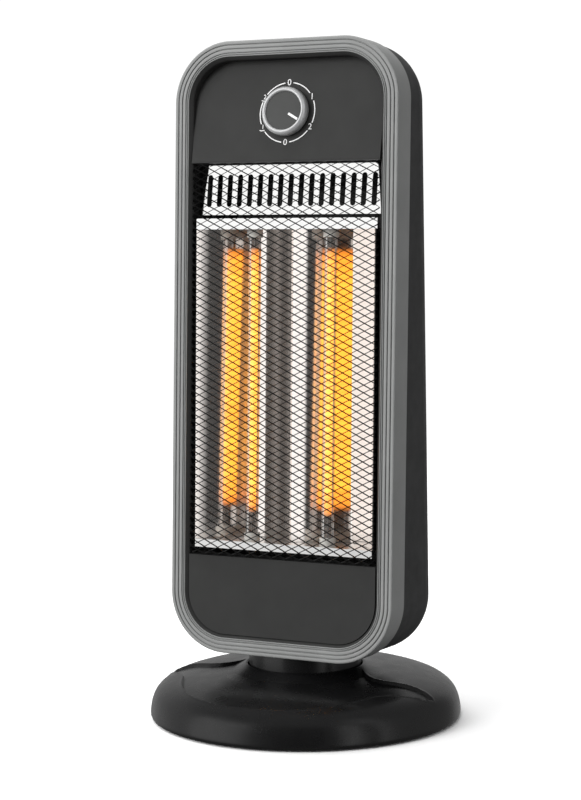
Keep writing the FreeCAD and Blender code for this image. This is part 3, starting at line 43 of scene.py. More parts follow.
# ------------------------------------------------------------------ frames
TILT = 2.757
TOWER = Matrix.Translation((0, -0.0507, 0.0568)) @ Matrix.Rotation(math.radians(-TILT), 4, "X")
MID = TOWER @ Matrix.Translation((0, 0, 0.25265))
DIAL_D = 0.6 + 40 * math.tan(math.radians(8.0))
PANEL = TOWER @ Matrix.Translation((0, DIAL_D * MM, 0.446)) @ Matrix.Rotation(math.radians(-8.0), 4, "X")
DIAL = PANEL @ Matrix.Rotation(math.radians(90.0), 4, "X")


# ------------------------------------------------------------------ node materials
class Mat:
    def __init__(self, name):
        self.m = bpy.data.materials.new(name)
        self.m.use_nodes = True
        self.t = self.m.node_tree
        self.t.nodes.clear()
        self.out = self.t.nodes.new("ShaderNodeOutputMaterial")
        self.b = self.t.nodes.new("ShaderNodeBsdfPrincipled")
        self.t.links.new(self.b.outputs[0], self.out.inputs[0])
        self.co = self.t.nodes.new("ShaderNodeTexCoord")

    def node(self, kind, **kw):
        n = self.t.nodes.new("ShaderNode" + kind)
        for k, v in kw.items():
            setattr(n, k, v)
        return n

    def link(self, a, b):
        self.t.links.new(a, b)

    def noise(self, scale, detail=4.0, rough=0.55, stretch=None):
        n = self.node("TexNoise")
        n.inputs["Scale"].default_value = scale
        n.inputs["Detail"].default_value = detail
        n.inputs["Roughness"].default_value = rough
        src = self.co.outputs["Object"]
        if stretch is not None:
            mp = self.node("Mapping")
            mp.inputs["Scale"].default_value = stretch
            self.link(src, mp.inputs["Vector"])
            src = mp.outputs[0]
        self.link(src, n.inputs["Vector"])
        return n.outputs["Fac"]

    def ramp(self, fac, stops, mode="LINEAR"):
        r = self.node("ValToRGB")
        r.color_ramp.interpolation = mode
        e = r.color_ramp.elements
        while len(e) < len(stops):
            e.new(0.5)
        for el, (p, c) in zip(e, stops):
            el.position = p
            el.color = c if len(c) == 4 else (*c, 1.0)
        self.link(fac, r.inputs[0])
        return r.outputs[0]

    def span(self, fac, lo, hi, a=0.3, b=0.7):
        r = self.node("MapRange")
        r.inputs[1].default_value = a
        r.inputs[2].default_value = b
        r.inputs[3].default_value = lo
        r.inputs[4].default_value = hi
        self.link(fac, r.inputs[0])
        return r.outputs[0]

    def bump(self, fac, strength, dist, prev=None):
        n = self.node("Bump")
        n.inputs["Strength"].default_value = strength
        n.inputs["Distance"].default_value = dist
        self.link(fac, n.inputs["Height"])
        if prev is not None:
            self.link(prev, n.inputs["Normal"])
        return n.outputs[0]


def plastic(name, dark, light, rough=(0.35, 0.45), grain=2600.0, deep=0.12, cloud=35.0, spec=0.5, coat=0.0):
    """Moulded plastic: faint cloudy tone, fine spark-eroded grain, roughness that varies with handling."""
    k = Mat(name)
    k.link(k.ramp(k.noise(cloud, 5.0), [(0.3, dark), (0.7, light)]), k.b.inputs["Base Color"])
    k.link(k.span(k.noise(cloud * 2.3, 4.0), rough[0], rough[1]), k.b.inputs["Roughness"])
    b = k.bump(k.noise(grain, 2.0), deep, 0.00006)
    b = k.bump(k.noise(55.0, 2.0), 0.03, 0.0004, b)
    k.link(b, k.b.inputs["Normal"])
    k.b.inputs["Specular IOR Level"].default_value = spec
    k.b.inputs["Coat Weight"].default_value = coat
    k.b.inputs["Coat Roughness"].default_value = 0.22
    return k.m


def metal(name, dark, light, rough=(0.1, 0.2), stretch=(900.0, 900.0, 14.0), deep=0.02, wave=0.0, along=None, full=1.0):
    """Rolled metal: streaks along the rolling direction in tone, roughness and bump."""
    k = Mat(name)
    st = k.noise(1.0, 4.0, 0.6, stretch)
    k.link(k.ramp(st, [(0.3, dark), (0.7, light)]), k.b.inputs["Base Color"])
    k.link(k.span(st, rough[0], rough[1]), k.b.inputs["Roughness"])
    k.b.inputs["Metallic"].default_value = full
    b = k.bump(st, deep, 0.00004)
    if wave > 0:
        b = k.bump(k.noise(1.0, 2.0, 0.5, (26.0, 26.0, 9.0)), wave, 0.001, b)
    k.link(b, k.b.inputs["Normal"])
    if along is not None:
        # grain lies across this direction, so a reflection smears along it and stays crisp across it
        tg = k.node("CombineXYZ")
        for i in range(3):
            tg.inputs[i].default_value = along[i]
        k.link(tg.outputs[0], k.b.inputs["Tangent"])
        k.b.inputs["Anisotropic"].default_value = 0.97
    return k.m


M_BEZEL = plastic("grey_plastic", (0.226, 0.230, 0.227), (0.252, 0.256, 0.253), (0.36, 0.46), 2400.0, 0.10, spec=0.25)
M_REAR = plastic("black_plastic", (0.040, 0.040, 0.0406), (0.050, 0.050, 0.0508), (0.42, 0.54), 1500.0, 0.25, spec=0.09)
M_PANEL = plastic("panel_black", (0.0290, 0.0292, 0.0286), (0.0335, 0.0337, 0.0330), (0.36, 0.46), 2000.0, 0.14, spec=0.18)
M_BASE = plastic("base_black", (0.0044, 0.0044, 0.0046), (0.0060, 0.0060, 0.0063), (0.25, 0.32), 2200.0, 0.03, spec=0.55)
M_KNOB = plastic("knob_black", (0.050, 0.051, 0.050), (0.058, 0.059, 0.058), (0.38, 0.46), 2600.0, 0.05, spec=0.25)
M_GUARD = plastic("guard_black", (0.005, 0.005, 0.005), (0.008, 0.008, 0.008), (0.36, 0.50), 900.0, 0.12, spec=0.2)
M_WHITE = plastic("white_print", (0.72, 0.72, 0.72), (0.80, 0.80, 0.80), (0.45, 0.55), 2600.0, 0.05)
M_RUBBER = plastic("rubber", (0.016, 0.016, 0.016), (0.024, 0.024, 0.024), (0.65, 0.8), 1200.0, 0.3)
M_GEAR = plastic("gear_plastic", (0.66, 0.65, 0.61), (0.74, 0.73, 0.69), (0.4, 0.5), 2000.0, 0.08)
M_CERAMIC = plastic("ceramic", (0.60, 0.58, 0.54), (0.70, 0.68, 0.64), (0.35, 0.5), 700.0, 0.2)
M_BRIGHT = metal("bright_metal", (0.93, 0.873, 0.832), (0.985, 0.928, 0.886), (0.085, 0.115), (14.0, 14.0, 900.0), 0.02, 0.0, along=(0.0, 0.0, 1.0))
M_SHEET = metal("bright_sheet", (0.88, 0.88, 0.87), (0.96, 0.96, 0.95), (0.08, 0.13), (40.0, 40.0, 900.0), 0.02, 0.0)
M_STEEL = metal("steel", (0.48, 0.48, 0.47), (0.62, 0.62, 0.61), (0.25, 0.4), (300.0, 300.0, 40.0), 0.1)
M_PLATE = metal("bright_plate", (0.86, 0.86, 0.85), (0.94, 0.94, 0.93), (0.27, 0.36), (40.0, 900.0, 40.0), 0.03, 0.0)
M_SHIELD = metal("dull_steel", (0.085, 0.085, 0.084), (0.125, 0.125, 0.122), (0.45, 0.6), (300.0, 300.0, 40.0), 0.1)
M_CHROME = metal("knob_chrome", (0.66, 0.665, 0.67), (0.75, 0.755, 0.76), (0.32, 0.40), (500.0, 500.0, 500.0), 0.02, full=0.58)


def element_mat():
    """Glowing coil: hot in its middle length, dull grey at both ends."""
    k = Mat("element")
    sep = k.node("SeparateXYZ")
    k.link(k.co.outputs["Object"], sep.inputs[0])
    z = k.span(sep.outputs[2], 0.0, 1.0, 0.1728, 0.3925)
    flick = k.noise(1.0, 3.0, 0.6, (60.0, 60.0, 420.0))
    ends = k.ramp(z, [(0.0, (0.0, 0.0, 0.0)), (0.008, (0.30, 0.22, 0.2)), (0.035, (1.0, 0.72, 0.6)), (0.12, (1.0, 1.0, 1.0)), (0.88, (1.0, 1.0, 1.0)), (0.965, (1.0, 0.72, 0.6)), (0.992, (0.30, 0.22, 0.2)), (1.0, (0.0, 0.0, 0.0))])
    coil = k.ramp(flick, [(0.25, (1.0, 0.31, 0.023)), (0.75, (1.0, 0.50, 0.048))])
    mul = k.node("Mix", data_type="RGBA", blend_type="MULTIPLY")
    mul.inputs[0].default_value = 1.0
    k.link(coil, mul.inputs[6])
    k.link(ends, mul.inputs[7])
    hot = mul.outputs[2]
    k.b.inputs["Base Color"].default_value = (0.20, 0.19, 0.18, 1.0)
    k.b.inputs["Roughness"].default_value = 0.6
    k.link(k.bump(flick, 0.5, 0.0006), k.b.inputs["Normal"])
    k.link(hot, k.b.inputs["Emission Color"])
    k.link(k.span(flick, 2.2, 2.8, 0.25, 0.75), k.b.inputs["Emission Strength"])
    return k.m


def quartz_mat():
    """Clear quartz with a faint milky haze."""
    k = Mat("quartz")
    tr = k.node("BsdfTransparent")
    tr.inputs[0].default_value = (0.93, 0.92, 0.91, 1.0)
    k.b.inputs["Base Color"].default_value = (0.80, 0.79, 0.78, 1.0)
    k.link(k.span(k.noise(120.0, 3.0), 0.05, 0.12), k.b.inputs["Roughness"])
    fr = k.node("Fresnel")
    fr.inputs[0].default_value = 1.35
    add = k.node("Math", operation="ADD")
    k.link(fr.outputs[0], add.inputs[0])
    k.link(k.span(k.noise(300.0, 3.0), 0.03, 0.09), add.inputs[1])
    mix = k.node("MixShader")
    k.link(add.outputs[0], mix.inputs[0])
    k.link(tr.outputs[0], mix.inputs[1])
    k.link(k.b.outputs[0], mix.inputs[2])
    k.link(mix.outputs[0], k.out.inputs[0])
    return k.m


M_ELEMENT = element_mat()
M_QUARTZ = quartz_mat()

# ------------------------------------------------------------------ mesh helpers


def piece(name, verts, faces, mat, body, place=None, replaces=(), slot=None, angle=32.0):
    me = bpy.data.meshes.new(name)
    me.from_pydata([(x * MM, y * MM, z * MM) for x, y, z in verts], [], faces)
    if place is not None:
        me.transform(place)
    bm = bmesh.new()
    bm.from_mesh(me)
    bmesh.ops.remove_doubles(bm, verts=bm.verts, dist=1e-7)
    bmesh.ops.recalc_face_normals(bm, faces=bm.faces)
    bm.to_mesh(me)
    bm.free()
    me.polygons.foreach_set("use_smooth", [True] * len(me.polygons))
    me.set_sharp_from_angle(angle=math.radians(angle))
    me.materials.append(mat)
    o = bpy.data.objects.new(name, me)
    scene.collection.objects.link(o)
    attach(o, body)
    for r in replaces:
        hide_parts(r)
    return o


def lathe(name, profile, mat, body, place, closed=True, segs=96, **kw):
    """Turn an (r, z) outline about Z."""
    n = len(profile)
    verts, faces = [], []
    for k in range(segs):
        a = 2 * math.pi * k / segs
        verts += [(r * math.cos(a), r * math.sin(a), z) for r, z in profile]
    for k in range(segs):
        q = (k + 1) % segs
        for i in range(n if closed else n - 1):
            j = (i + 1) % n
            faces.append((k * n + i, q * n + i, q * n + j, k * n + j))
    return piece(name, verts, faces, mat, body, place, **kw)


def loop_path(half_w, half_h, r, steps=20):
    """Corner centres and directions round a rounded rectangle."""
    out = []
    for cx, cz, start in ((1, -1, -90), (1, 1, 0), (-1, 1, 90), (-1, -1, 180)):
        for k in range(steps + 1):
            a = math.radians(start + 90.0 * k / steps)
            out.append((cx * (half_w - r), cz * (half_h - r), math.cos(a), math.sin(a)))
    return out


def sweep_loop(name, profile, path, r, mat, body, place, closed=True, **kw):
    """Carry an (inset, depth) outline round a rounded rectangle."""
    n = len(profile)
    verts, faces = [], []
    for cx, cz, ux, uz in path:
        verts += [(cx + (r - o) * ux, d, cz + (r - o) * uz) for o, d in profile]
    m = len(path)
    for k in range(m):
        q = (k + 1) % m
        for i in range(n if closed else n - 1):
            j = (i + 1) % n
            faces.append((k * n + i, q * n + i, q * n + j, k * n + j))
    return piece(name, verts, faces, mat, body, place, **kw)


# ------------------------------------------------------------------ bezel
prof = [(0.0, 25.0), (0.0, 1.3), (0.1, 0.75), (0.4, 0.3), (0.85, 0.06), (1.3, 0.0)]
GROOVES = [2.95, 6.30, 9.65]
for g in GROOVES:
    prof += [(g - 0.30, 0.0), (g - 0.06, 0.10), (g + 0.03, 0.36), (g + 0.09, 1.05), (g + 0.22, 1.25), (g + 0.72, 1.25), (g + 0.85, 1.05), (g + 0.91, 0.36), (g + 1.0, 0.10), (g + 1.24, 0.0)]
prof += [(11.15, 0.0), (11.28, 0.12), (11.34, 0.4), (11.38, 1.0), (11.5, 1.15), (11.8, 1.15), (11.92, 1.0), (11.96, 0.4), (12.02, 0.12), (12.15, 0.0), (12.3, 0.0), (12.6, 0.06), (12.75, 0.3), (12.8, 0.7), (12.8, 3.0), (2.4, 3.0), (2.4, 25.0)]
reveal = [(12.8, 0.7), (12.95, 0.75), (15.4, 3.4), (15.58, 3.7), (15.62, 4.2), (15.62, 16.0), (12.9, 16.0), (12.9, 3.0)]
sweep_loop("bezel_ribbed", prof, loop_path(101.0, 252.65, 50.0, 28), 50.0, M_BEZEL, "tower", MID, replaces=("front_bezel",), slot="grey_plastic", angle=38.0)
sweep_loop("bezel_reveal", reveal, loop_path(101.0, 252.65, 50.0, 28), 50.0, M_PANEL, "tower", MID, slot="panel_black", angle=38.0)

# ------------------------------------------------------------------ reflector
HALF, U0, DV, DE, DR, PW, PW2, TH = 81.1, 43.7, 44.1, 21.3, 4.16, 1.97, 1.42, 0.8


def trough(u):
    if u < U0:
        return DV - (DV - DE) * ((U0 - u) / U0) ** PW
    return DV - (DV - DR) * ((u - U0) / (HALF - U0)) ** PW2


wave = [0.5 - 0.5 * math.cos(math.pi * k / 70.0) for k in range(71)]
us = [U0 * w_ for w_ in wave] + [U0 + (HALF - U0) * w_ for w_ in wave[1:]]
half_line = [(u, trough(u)) for u in us]
# the back of the sheet, one sheet thickness behind the polished face
half_back = []
for i, (x, d) in enumerate(half_line):
    a, b = half_line[max(i - 1, 0)], half_line[min(i + 1, len(half_line) - 1)]
    tx, ty = b[0] - a[0], b[1] - a[1]
    ln = math.hypot(tx, ty)
    half_back.append((x - ty / ln * TH, d + tx / ln * TH))
k = next(i for i, (x, d) in enumerate(half_back) if x > 0)
(xa, da), (xb, db) = half_back[k - 1], half_back[k]
middle = (0.0, da + (db - da) * (0.0 - xa) / (xb - xa))
half_back = [middle] * k + half_back[k:]
line = [(-x, d) for x, d in reversed(half_line)] + half_line[1:]
back = [(-x, d) for x, d in reversed(half_back)] + half_back[1:]
n = len(line)
vs = [-0.9 + 257.8 * k / 12 for k in range(13)]
verts = [(x, d, v) for v in vs for x, d in line + back]
faces = []
for r in range(12):
    a, b = r * 2 * n, (r + 1) * 2 * n
    for i in range(n - 1):
        faces.append((a + i, a + i + 1, b + i + 1, b + i))
        faces.append((a + n + i, b + n + i, b + n + i + 1, a + n + i + 1))
    faces.append((a, b, b + n, a + n))
    faces.append((a + n - 1, a + 2 * n - 1, b + 2 * n - 1, b + n - 1))
for a in (0, 12 * 2 * n):
    for i in range(n - 1):
        faces.append((a + i, a + n + i, a + n + i + 1, a + i + 1))
REFL = TOWER @ Matrix.Translation((0, 0.00033, 0.0944)) @ Matrix.Rotation(math.radians(0.468), 4, "X")
piece("reflector_polished", verts, faces, M_BRIGHT, "tower", REFL, replaces=("reflector",), slot="bright_metal", angle=40.0)

# folded edges of the heat shield, which stand between the front gaps and the rear louvres
for label, v0, v1, way in (("shield_edge_low", 97.0, 56.0, -1), ("shield_edge_top", 347.0, 386.0, 1)):
    sec = [(56.2, v0), (57.0, v0), (57.0, v1 - way * 0.8), (61.0, v1 - way * 0.8), (61.0, v1), (57.0, v1), (56.4, v1 - way * 0.2), (56.2, v1 - way * 0.8)]
    m = len(sec)
    ev = [(u, d, v) for u in (-72.0, 72.0) for d, v in sec]
    ef = [(i, (i + 1) % m, (i + 1) % m + m, i + m) for i in range(m)] + [tuple(range(m))[::-1], tuple(range(m, 2 * m))]
    piece(label, ev, ef, M_SHIELD, "tower", TOWER)

# ------------------------------------------------------------------ slotted vent plate with its upper edge rolled forward
PLATE = TOWER @ Matrix.Translation((0, 0.012, 0.3636)) @ Matrix.Rotation(math.radians(-6.0), 4, "X")
PT, SPLIT, TOP = 0.8, 34.6, 41.3


def half_at(h):
    return 82.0 - 5.0 * h / 41.6


cu = bpy.data.curves.new("vent_outline", "CURVE")
cu.dimensions = "2D"
cu.fill_mode = "BOTH"
cu.extrude = PT / 2 * MM
loops = [[(-half_at(0), 0.0), (half_at(0), 0.0), (half_at(SPLIT), SPLIT), (-half_at(SPLIT), SPLIT)]]
for k in range(17):
    x = 9.4 * (k - 8)
    up_ = [(x + 2.3 * math.cos(math.pi * i / 10), 31.4 + 2.3 * math.sin(math.pi * i / 10)) for i in range(11)]
    dn_ = [(x - 2.3 * math.cos(math.pi * i / 10), 9.0 - 2.3 * math.sin(math.pi * i / 10)) for i in range(11)]
    loops.append(up_ + dn_)
for lp_ in loops:
    sp = cu.splines.new("POLY")
    sp.points.add(len(lp_) - 1)
    for q_, (x, y) in zip(sp.points, lp_):
        q_.co = (x * MM, y * MM, 0.0, 1.0)
    sp.use_cyclic_u = True
tmp = bpy.data.objects.new("vent_outline", cu)
scene.collection.objects.link(tmp)
bpy.context.view_layer.update()
flat = bpy.data.meshes.new_from_object(tmp.evaluated_get(bpy.context.evaluated_depsgraph_get()))
bpy.data.objects.remove(tmp)
flat.transform(Matrix.Translation((0, PT / 2 * MM, 0)) @ Matrix.Rotation(math.radians(90.0), 4, "X"))
verts = [tuple(c_ / MM for c_ in v_.co) for v_ in flat.vertices]
faces = [tuple(f_.vertices) for f_ in flat.polygons]
bpy.data.meshes.remove(flat)
# the rolled upper edge: its slope turns forward by nine degrees over the last few millimetres
rolled = [(0.0, SPLIT)]
for k in range(12):
    a = math.radians(9.5 * min(1.0, (k + 1) / 7.0))
    ds = (TOP - SPLIT) / 12
    rolled.append((rolled[-1][0] - ds * math.sin(a), rolled[-1][1] + ds * math.cos(a)))
base = len(verts)
for d, h in rolled:
    for s_, dd in ((-1, 0.0), (1, 0.0), (1, PT), (-1, PT)):
        verts.append((s_ * half_at(h), d + dd, h))
for k in range(12):
    for i in range(4):
        j = (i + 1) % 4
        faces.append((base + 4 * k + i, base + 4 * k + j, base + 4 * k + 4 + j, base + 4 * k + 4 + i))
faces += [(base, base + 3, base + 2, base + 1), tuple(base + 48 + i for i in range(4))]
piece("vent_sheet", verts, faces, M_SHEET, "tower", PLATE, replaces=("vent_plate",), slot="bright_metal", angle=30.0)

# ------------------------------------------------------------------ guard of expanded metal
GW, G0, G1, GF, GB, GRX, GRZ = 84.4, 81.9, 405.1, -2.4, 9.1, 5.0, 4.0
CW, CH = 12.5, 6.15
SW, ST = 1.05, 0.34
BETA = math.radians(58.0)
WD = Vector((0, math.sin(BETA), math.cos(BETA)))


def sheet_point(s, q):
    """Point of the tray for sheet coordinates s across and q up from its middle, with its normal towards the front."""
    def bend(a, half, GR):
        flat = half - GR
        arc = GR * math.pi / 2
        m = abs(a)
        sg = 1.0 if a >= 0 else -1.0
        if m <= flat:
            return a, 0.0, 0.0
        if m <= flat + arc:
            th = (m - flat) / GR
            return sg * (flat + GR * math.sin(th)), GR * (1 - math.cos(th)), sg * th
        return sg * half, GR + (m - flat - arc), sg * math.pi / 2
    x, dx, tx = bend(s, GW, GRX)
    z, dz, tz = bend(q, (G1 - G0) / 2, GRZ)
    d = GF + 0.4 + dx + dz
    return Vector((x, d, z)), tx, tz


verts, faces = [], []
S_MAX = GW - GRX + GRX * math.pi / 2 + 6.0
Q_MAX = (G1 - G0) / 2 - GRZ + GRZ * math.pi / 2 + 2.2


def strand(p0, p1):
    """One slit strand as a thin tilted bar, following the bend of the tray."""
    steps = 1 if (abs(p0[0]) < GW - GRX - 7 and abs(p0[1]) < (G1 - G0) / 2 - GRZ - 5) else 3
    rows = []
    for k in range(steps + 1):
        f = k / steps
        s, q = p0[0] + (p1[0] - p0[0]) * f, p0[1] + (p1[1] - p0[1]) * f
        c, tx, tz = sheet_point(s, q)
        if c.y > GB:
            c.y = GB
        rot = Matrix.Rotation(tx, 3, "Z") @ Matrix.Rotation(-tz, 3, "X")
        w = rot @ WD
        along = Vector((p1[0] - p0[0], 0, p1[1] - p0[1])).normalized()
        nrm = rot @ along.cross(WD).normalized()
        rows.append((c, w, nrm))
    base = len(verts)
    for c, w, nrm in rows:
        for a, b in ((-1, -1), (1, -1), (1, 1), (-1, 1)):
            verts.append(tuple(c + w * (a * SW / 2) + nrm * (b * ST / 2)))
    for k in range(steps):
        o = base + 4 * k
        for i in range(4):
            j = (i + 1) % 4
            faces.append((o + i, o + j, o + 4 + j, o + 4 + i))
    faces.append((base, base + 3, base + 2, base + 1))
    e = base + 4 * steps
    faces.append((e, e + 1, e + 2, e + 3))


cols = int(S_MAX / (CW / 2)) + 1
rows_n = int(Q_MAX / (CH / 2)) + 1
for r in range(-rows_n, rows_n + 1):
    for c in range(-cols, cols):
        up = ((r + c) % 2 == 0)
        q0 = r * CH / 2 + (CH / 4 if up else -CH / 4)
        q1 = r * CH / 2 + (-CH / 4 if up else CH / 4)
        s0, s1 = c * CW / 2, (c + 1) * CW / 2
        if max(abs(s0), abs(s1)) > S_MAX or max(abs(q0), abs(q1)) > Q_MAX:
            continue
        # the corner of the tray is folded in, so the lattice stops there
        ex, ez = max(abs(s0), abs(s1)) - (GW - GRX), max(abs(q0), abs(q1)) - ((G1 - G0) / 2 - GRZ)
        if ex > 2.0 and ez > 1.0 and ex + ez > 8.0:
            continue
        strand((s0, q0), (s1, q1))
GMID = TOWER @ Matrix.Translation((0, 0, (G0 + G1) / 2 * MM))
guard = piece("guard_lattice", verts, faces, M_GUARD, "tower", GMID, replaces=("wire_guard",), slot="guard_black", angle=30.0)
# folded hem of the guard, on its rails
hem = [(0.0, GB), (0.0, GB - 2.1), (0.15, GB - 2.4), (0.55, GB - 2.4), (0.7, GB - 2.1), (0.7, GB)]
guard_hem = sweep_loop("guard_hem", hem, loop_path(GW + 0.2, (G1 - G0) / 2 + 0.2, 9.0, 8), 9.0, M_GUARD, "tower", GMID, slot="guard_black")

guard.visible_glossy = False
guard_hem.visible_glossy = False

# ------------------------------------------------------------------ base cover
DOME = [(129.6, 1.6), (130.5, 4.4), (129.85, 10.7), (128.4, 16.4), (126.0, 21.4), (122.0, 25.9), (116.0, 29.9), (108.0, 32.9), (98.0, 35.7), (86.0, 37.8), (74.0, 39.4), (66.0, 40.2), (58.0, 41.3), (53.0, 42.6), (50.2, 44.0)]


def smooth_line(pts, per=10):
    """Catmull-Rom through the points."""
    p = [np.array(a, float) for a in pts]
    p = [2 * p[0] - p[1]] + p + [2 * p[-1] - p[-2]]
    out = []
    for i in range(1, len(p) - 2):
        for k in range(per):
            t = k / per
            a, b, c, d = p[i - 1], p[i], p[i + 1], p[i + 2]
            out.append(0.5 * ((2 * b) + (-a + c) * t + (2 * a - 5 * b + 4 * c - d) * t * t + (-a + 3 * b - 3 * c + d) * t ** 3))
    out.append(p[-2])
    return np.array(out)


dome = smooth_line(DOME, 8)
LEAF = [(0, -115.5), (16, -114.5), (31, -110.9), (48, -103.4), (62, -93.0), (73, -80.5), (81, -67.0), (87.5, -54.0), (96, -42.5), (106.5, -33.0), (115.0, -24.5), (121.8, -13.6)]
BACK = [(121.8, -13.6), (119.2, -12.2), (112, -10.9), (100.5, -11.9), (89, -15.6), (78.8, -18.6), (68.5, -17.0), (58.5, -8.0), (50, 4.0), (44, 8.0)]
half_leaf = np.vstack([smooth_line([(-16, -114.5)] + LEAF, 8)[8:], smooth_line(BACK, 8)[1:]])
outline = np.vstack([half_leaf, half_leaf[::-1] * np.array([-1, 1])])


def inside_dist(pts, poly):
    """Signed distance to a closed outline, positive inside."""
    a, b = poly, np.roll(poly, -1, axis=0)
    ab = b - a
    ln = (ab ** 2).sum(1) + 1e-12
    out = np.empty(len(pts))
    for i0 in range(0, len(pts), 4000):
        p = pts[i0:i0 + 4000]
        ap = p[:, None, :] - a[None]
        t = np.clip((ap * ab).sum(2) / ln, 0, 1)
        dist = np.sqrt(((ap - t[..., None] * ab) ** 2).sum(2)).min(1)
        y0, y1 = a[:, 1], b[:, 1]
        cond = (y0[None] > p[:, 1:2]) != (y1[None] > p[:, 1:2])
        xi = a[:, 0] + (p[:, 1:2] - y0) / np.where(y1 == y0, 1e-9, y1 - y0) * ab[:, 0]
        ins = (cond & (p[:, 0:1] < xi)).sum(1) % 2 == 1
        out[i0:i0 + 4000] = np.where(ins, dist, -dist)
    return out


SEG = 600
ang = np.arange(SEG) * 2 * math.pi / SEG
prof_r, prof_z = dome[:, 0], dome[:, 1]
# finer rings over the top of the dome, where the recess runs
low = prof_z < 28.6
top = np.linspace(118.0, 50.2, 106)
order = np.argsort(prof_r[8:])
rim_r, rim_z = prof_r[low][::2], prof_z[low][::2]
rr = np.concatenate([rim_r, top])
zz = np.concatenate([rim_z, np.interp(top, prof_r[8:][order], prof_z[8:][order])])
R, A = np.meshgrid(rr, ang)
Z = np.repeat(zz[None], SEG, 0)
X, Y = R * np.cos(A), R * np.sin(A)
sd = inside_dist(np.c_[X.ravel(), Y.ravel()], outline).reshape(X.shape)
t = np.clip((sd + 0.4) / 1.5, 0, 1)
drop = 2.1 * (t * t * (3 - 2 * t))
drop *= np.clip((R - 52.0) / 9.0, 0, 1) ** 1.2
drop *= np.clip((Z - 15.0) / 8.0, 0, 1)
# low rolled lip along the edge of the recess
lip = 0.5 * np.exp(-((sd + 0.95) / 0.85) ** 2) * np.clip((R - 58.0) / 14.0, 0, 1) * np.clip((Z - 15.0) / 8.0, 0, 1)
Zs = Z - drop + lip
well = [(49.4, 44.15), (48.7, 43.9), (48.25, 43.3), (48.2, 40.0), (48.2, 34.0), (17.0, 34.0), (17.0, 31.5), (51.4, 31.5), (51.4, 36.0)]
inside = [(54.0, 36.6), (66.0, 35.4), (74.0, 34.6), (86.0, 33.0), (98.0, 30.9), (108.0, 28.1), (114.0, 25.4), (119.0, 22.2), (122.5, 18.6), (125.2, 14.4), (126.9, 9.6), (127.5, 4.6), (127.2, 1.6)]
verts, faces = [], []
n = len(rr) + len(well) + len(inside)
for k in range(SEG):
    ca, sa = math.cos(ang[k]), math.sin(ang[k])
    for i in range(len(rr)):
        verts.append((R[k, i] * ca, R[k, i] * sa, Zs[k, i]))
    for r, z in well + inside:
        verts.append((r * ca, r * sa, z))
for k in range(SEG):
    q = (k + 1) % SEG
    for i in range(n):
        j = (i + 1) % n
        faces.append((k * n + i, q * n + i, q * n + j, k * n + j))
shell = piece("base_shell", verts, faces, M_BASE, "base", None, replaces=("base_cover",), slot="base_black", angle=50.0)


def rod(r, y0, y1, z, segs=64):
    """Closed round bar along Y, as a cutting tool."""
    me = bpy.data.meshes.new("cutter")
    v = [(r * MM * math.cos(2 * math.pi * k / segs), y * MM, (z + r * math.sin(2 * math.pi * k / segs)) * MM) for y in (y0, y1) for k in range(segs)]
    f = [(k, k + segs, (k + 1) % segs + segs, (k + 1) % segs) for k in range(segs)] + [tuple(range(segs)), tuple(reversed(range(segs, 2 * segs)))]
    me.from_pydata(v, [], f)
    bm = bmesh.new()
    bm.from_mesh(me)
    bmesh.ops.recalc_face_normals(bm, faces=bm.faces)
    bm.to_mesh(me)
    bm.free()
    o = bpy.data.objects.new("cutter", me)
    scene.collection.objects.link(o)
    return o


# flat round seat and bore for the cord gland at the back
for r, y0, y1 in ((8.0, 126.0, 140.0), (5.5, 110.0, 140.0)):
    tool = rod(r, y0, y1, 13.0)
    md = shell.modifiers.new("cut", "BOOLEAN")
    md.operation = "DIFFERENCE"
    md.solver = "EXACT"
    md.object = tool
    bpy.context.view_layer.update()
    me = bpy.data.meshes.new_from_object(shell.evaluated_get(bpy.context.evaluated_depsgraph_get()))
    shell.modifiers.clear()
    me.polygons.foreach_set("use_smooth", [True] * len(me.polygons))
    me.set_sharp_from_angle(angle=math.radians(50.0))
    me.materials.clear()
    me.materials.append(M_BASE)
    shell.data = me
    bpy.data.objects.remove(tool)

# ------------------------------------------------------------------ knob and dial print
lathe("knob_grip", [(3.0, 4.0), (9.6, 4.0), (9.6, 0.7), (9.9, 0.6), (18.8, 0.6), (19.1, 0.8), (19.1, 6.4), (3.0, 6.4)], M_KNOB, "knob", DIAL, replaces=("knob_body",), slot="knob_black")
lathe("knob_rim", [(19.1, 1.2), (19.7, 1.2), (19.9, 1.5), (19.9, 6.2), (19.8, 6.7), (19.5, 7.3), (18.8, 8.2), (18.1, 8.72), (17.7, 8.88), (17.1, 8.9), (16.8, 8.82), (16.4, 8.55), (16.05, 8.0), (15.9, 7.6), (15.9, 6.4), (19.1, 6.4)], M_CHROME, "knob", DIAL, replaces=("knob_ring",), slot="knob_chrome", angle=60.0)
lathe("knob_dish", [(0.0, 6.4), (15.8, 6.4), (15.8, 7.3), (15.65, 7.45), (15.3, 7.5), (10.0, 7.47), (0.0, 7.45)], M_KNOB, "knob", DIAL, closed=False, replaces=("knob_face",), slot="knob_black")


def flat_arc(name, r, width, a0, a1, z, mat, body, place, steps=64):
    """Printed arc with the thickness of its ink."""
    verts, faces = [], []
    for k in range(steps + 1):
        a = math.radians(a0 + (a1 - a0) * k / steps)
        for rr_, zz_ in ((r - width / 2, z), (r + width / 2, z), (r + width / 2, z - 0.1), (r - width / 2, z - 0.1)):
            verts.append((rr_ * math.cos(a), rr_ * math.sin(a), zz_))
    for k in range(steps):
        for i in range(4):
            j = (i + 1) % 4
            faces.append((4 * k + i, 4 * k + j, 4 * k + 4 + j, 4 * k + 4 + i))
    faces += [(0, 3, 2, 1), (4 * steps, 4 * steps + 1, 4 * steps + 2, 4 * steps + 3)]
    return piece(name, verts, faces, mat, body, place, slot="knob_mark")


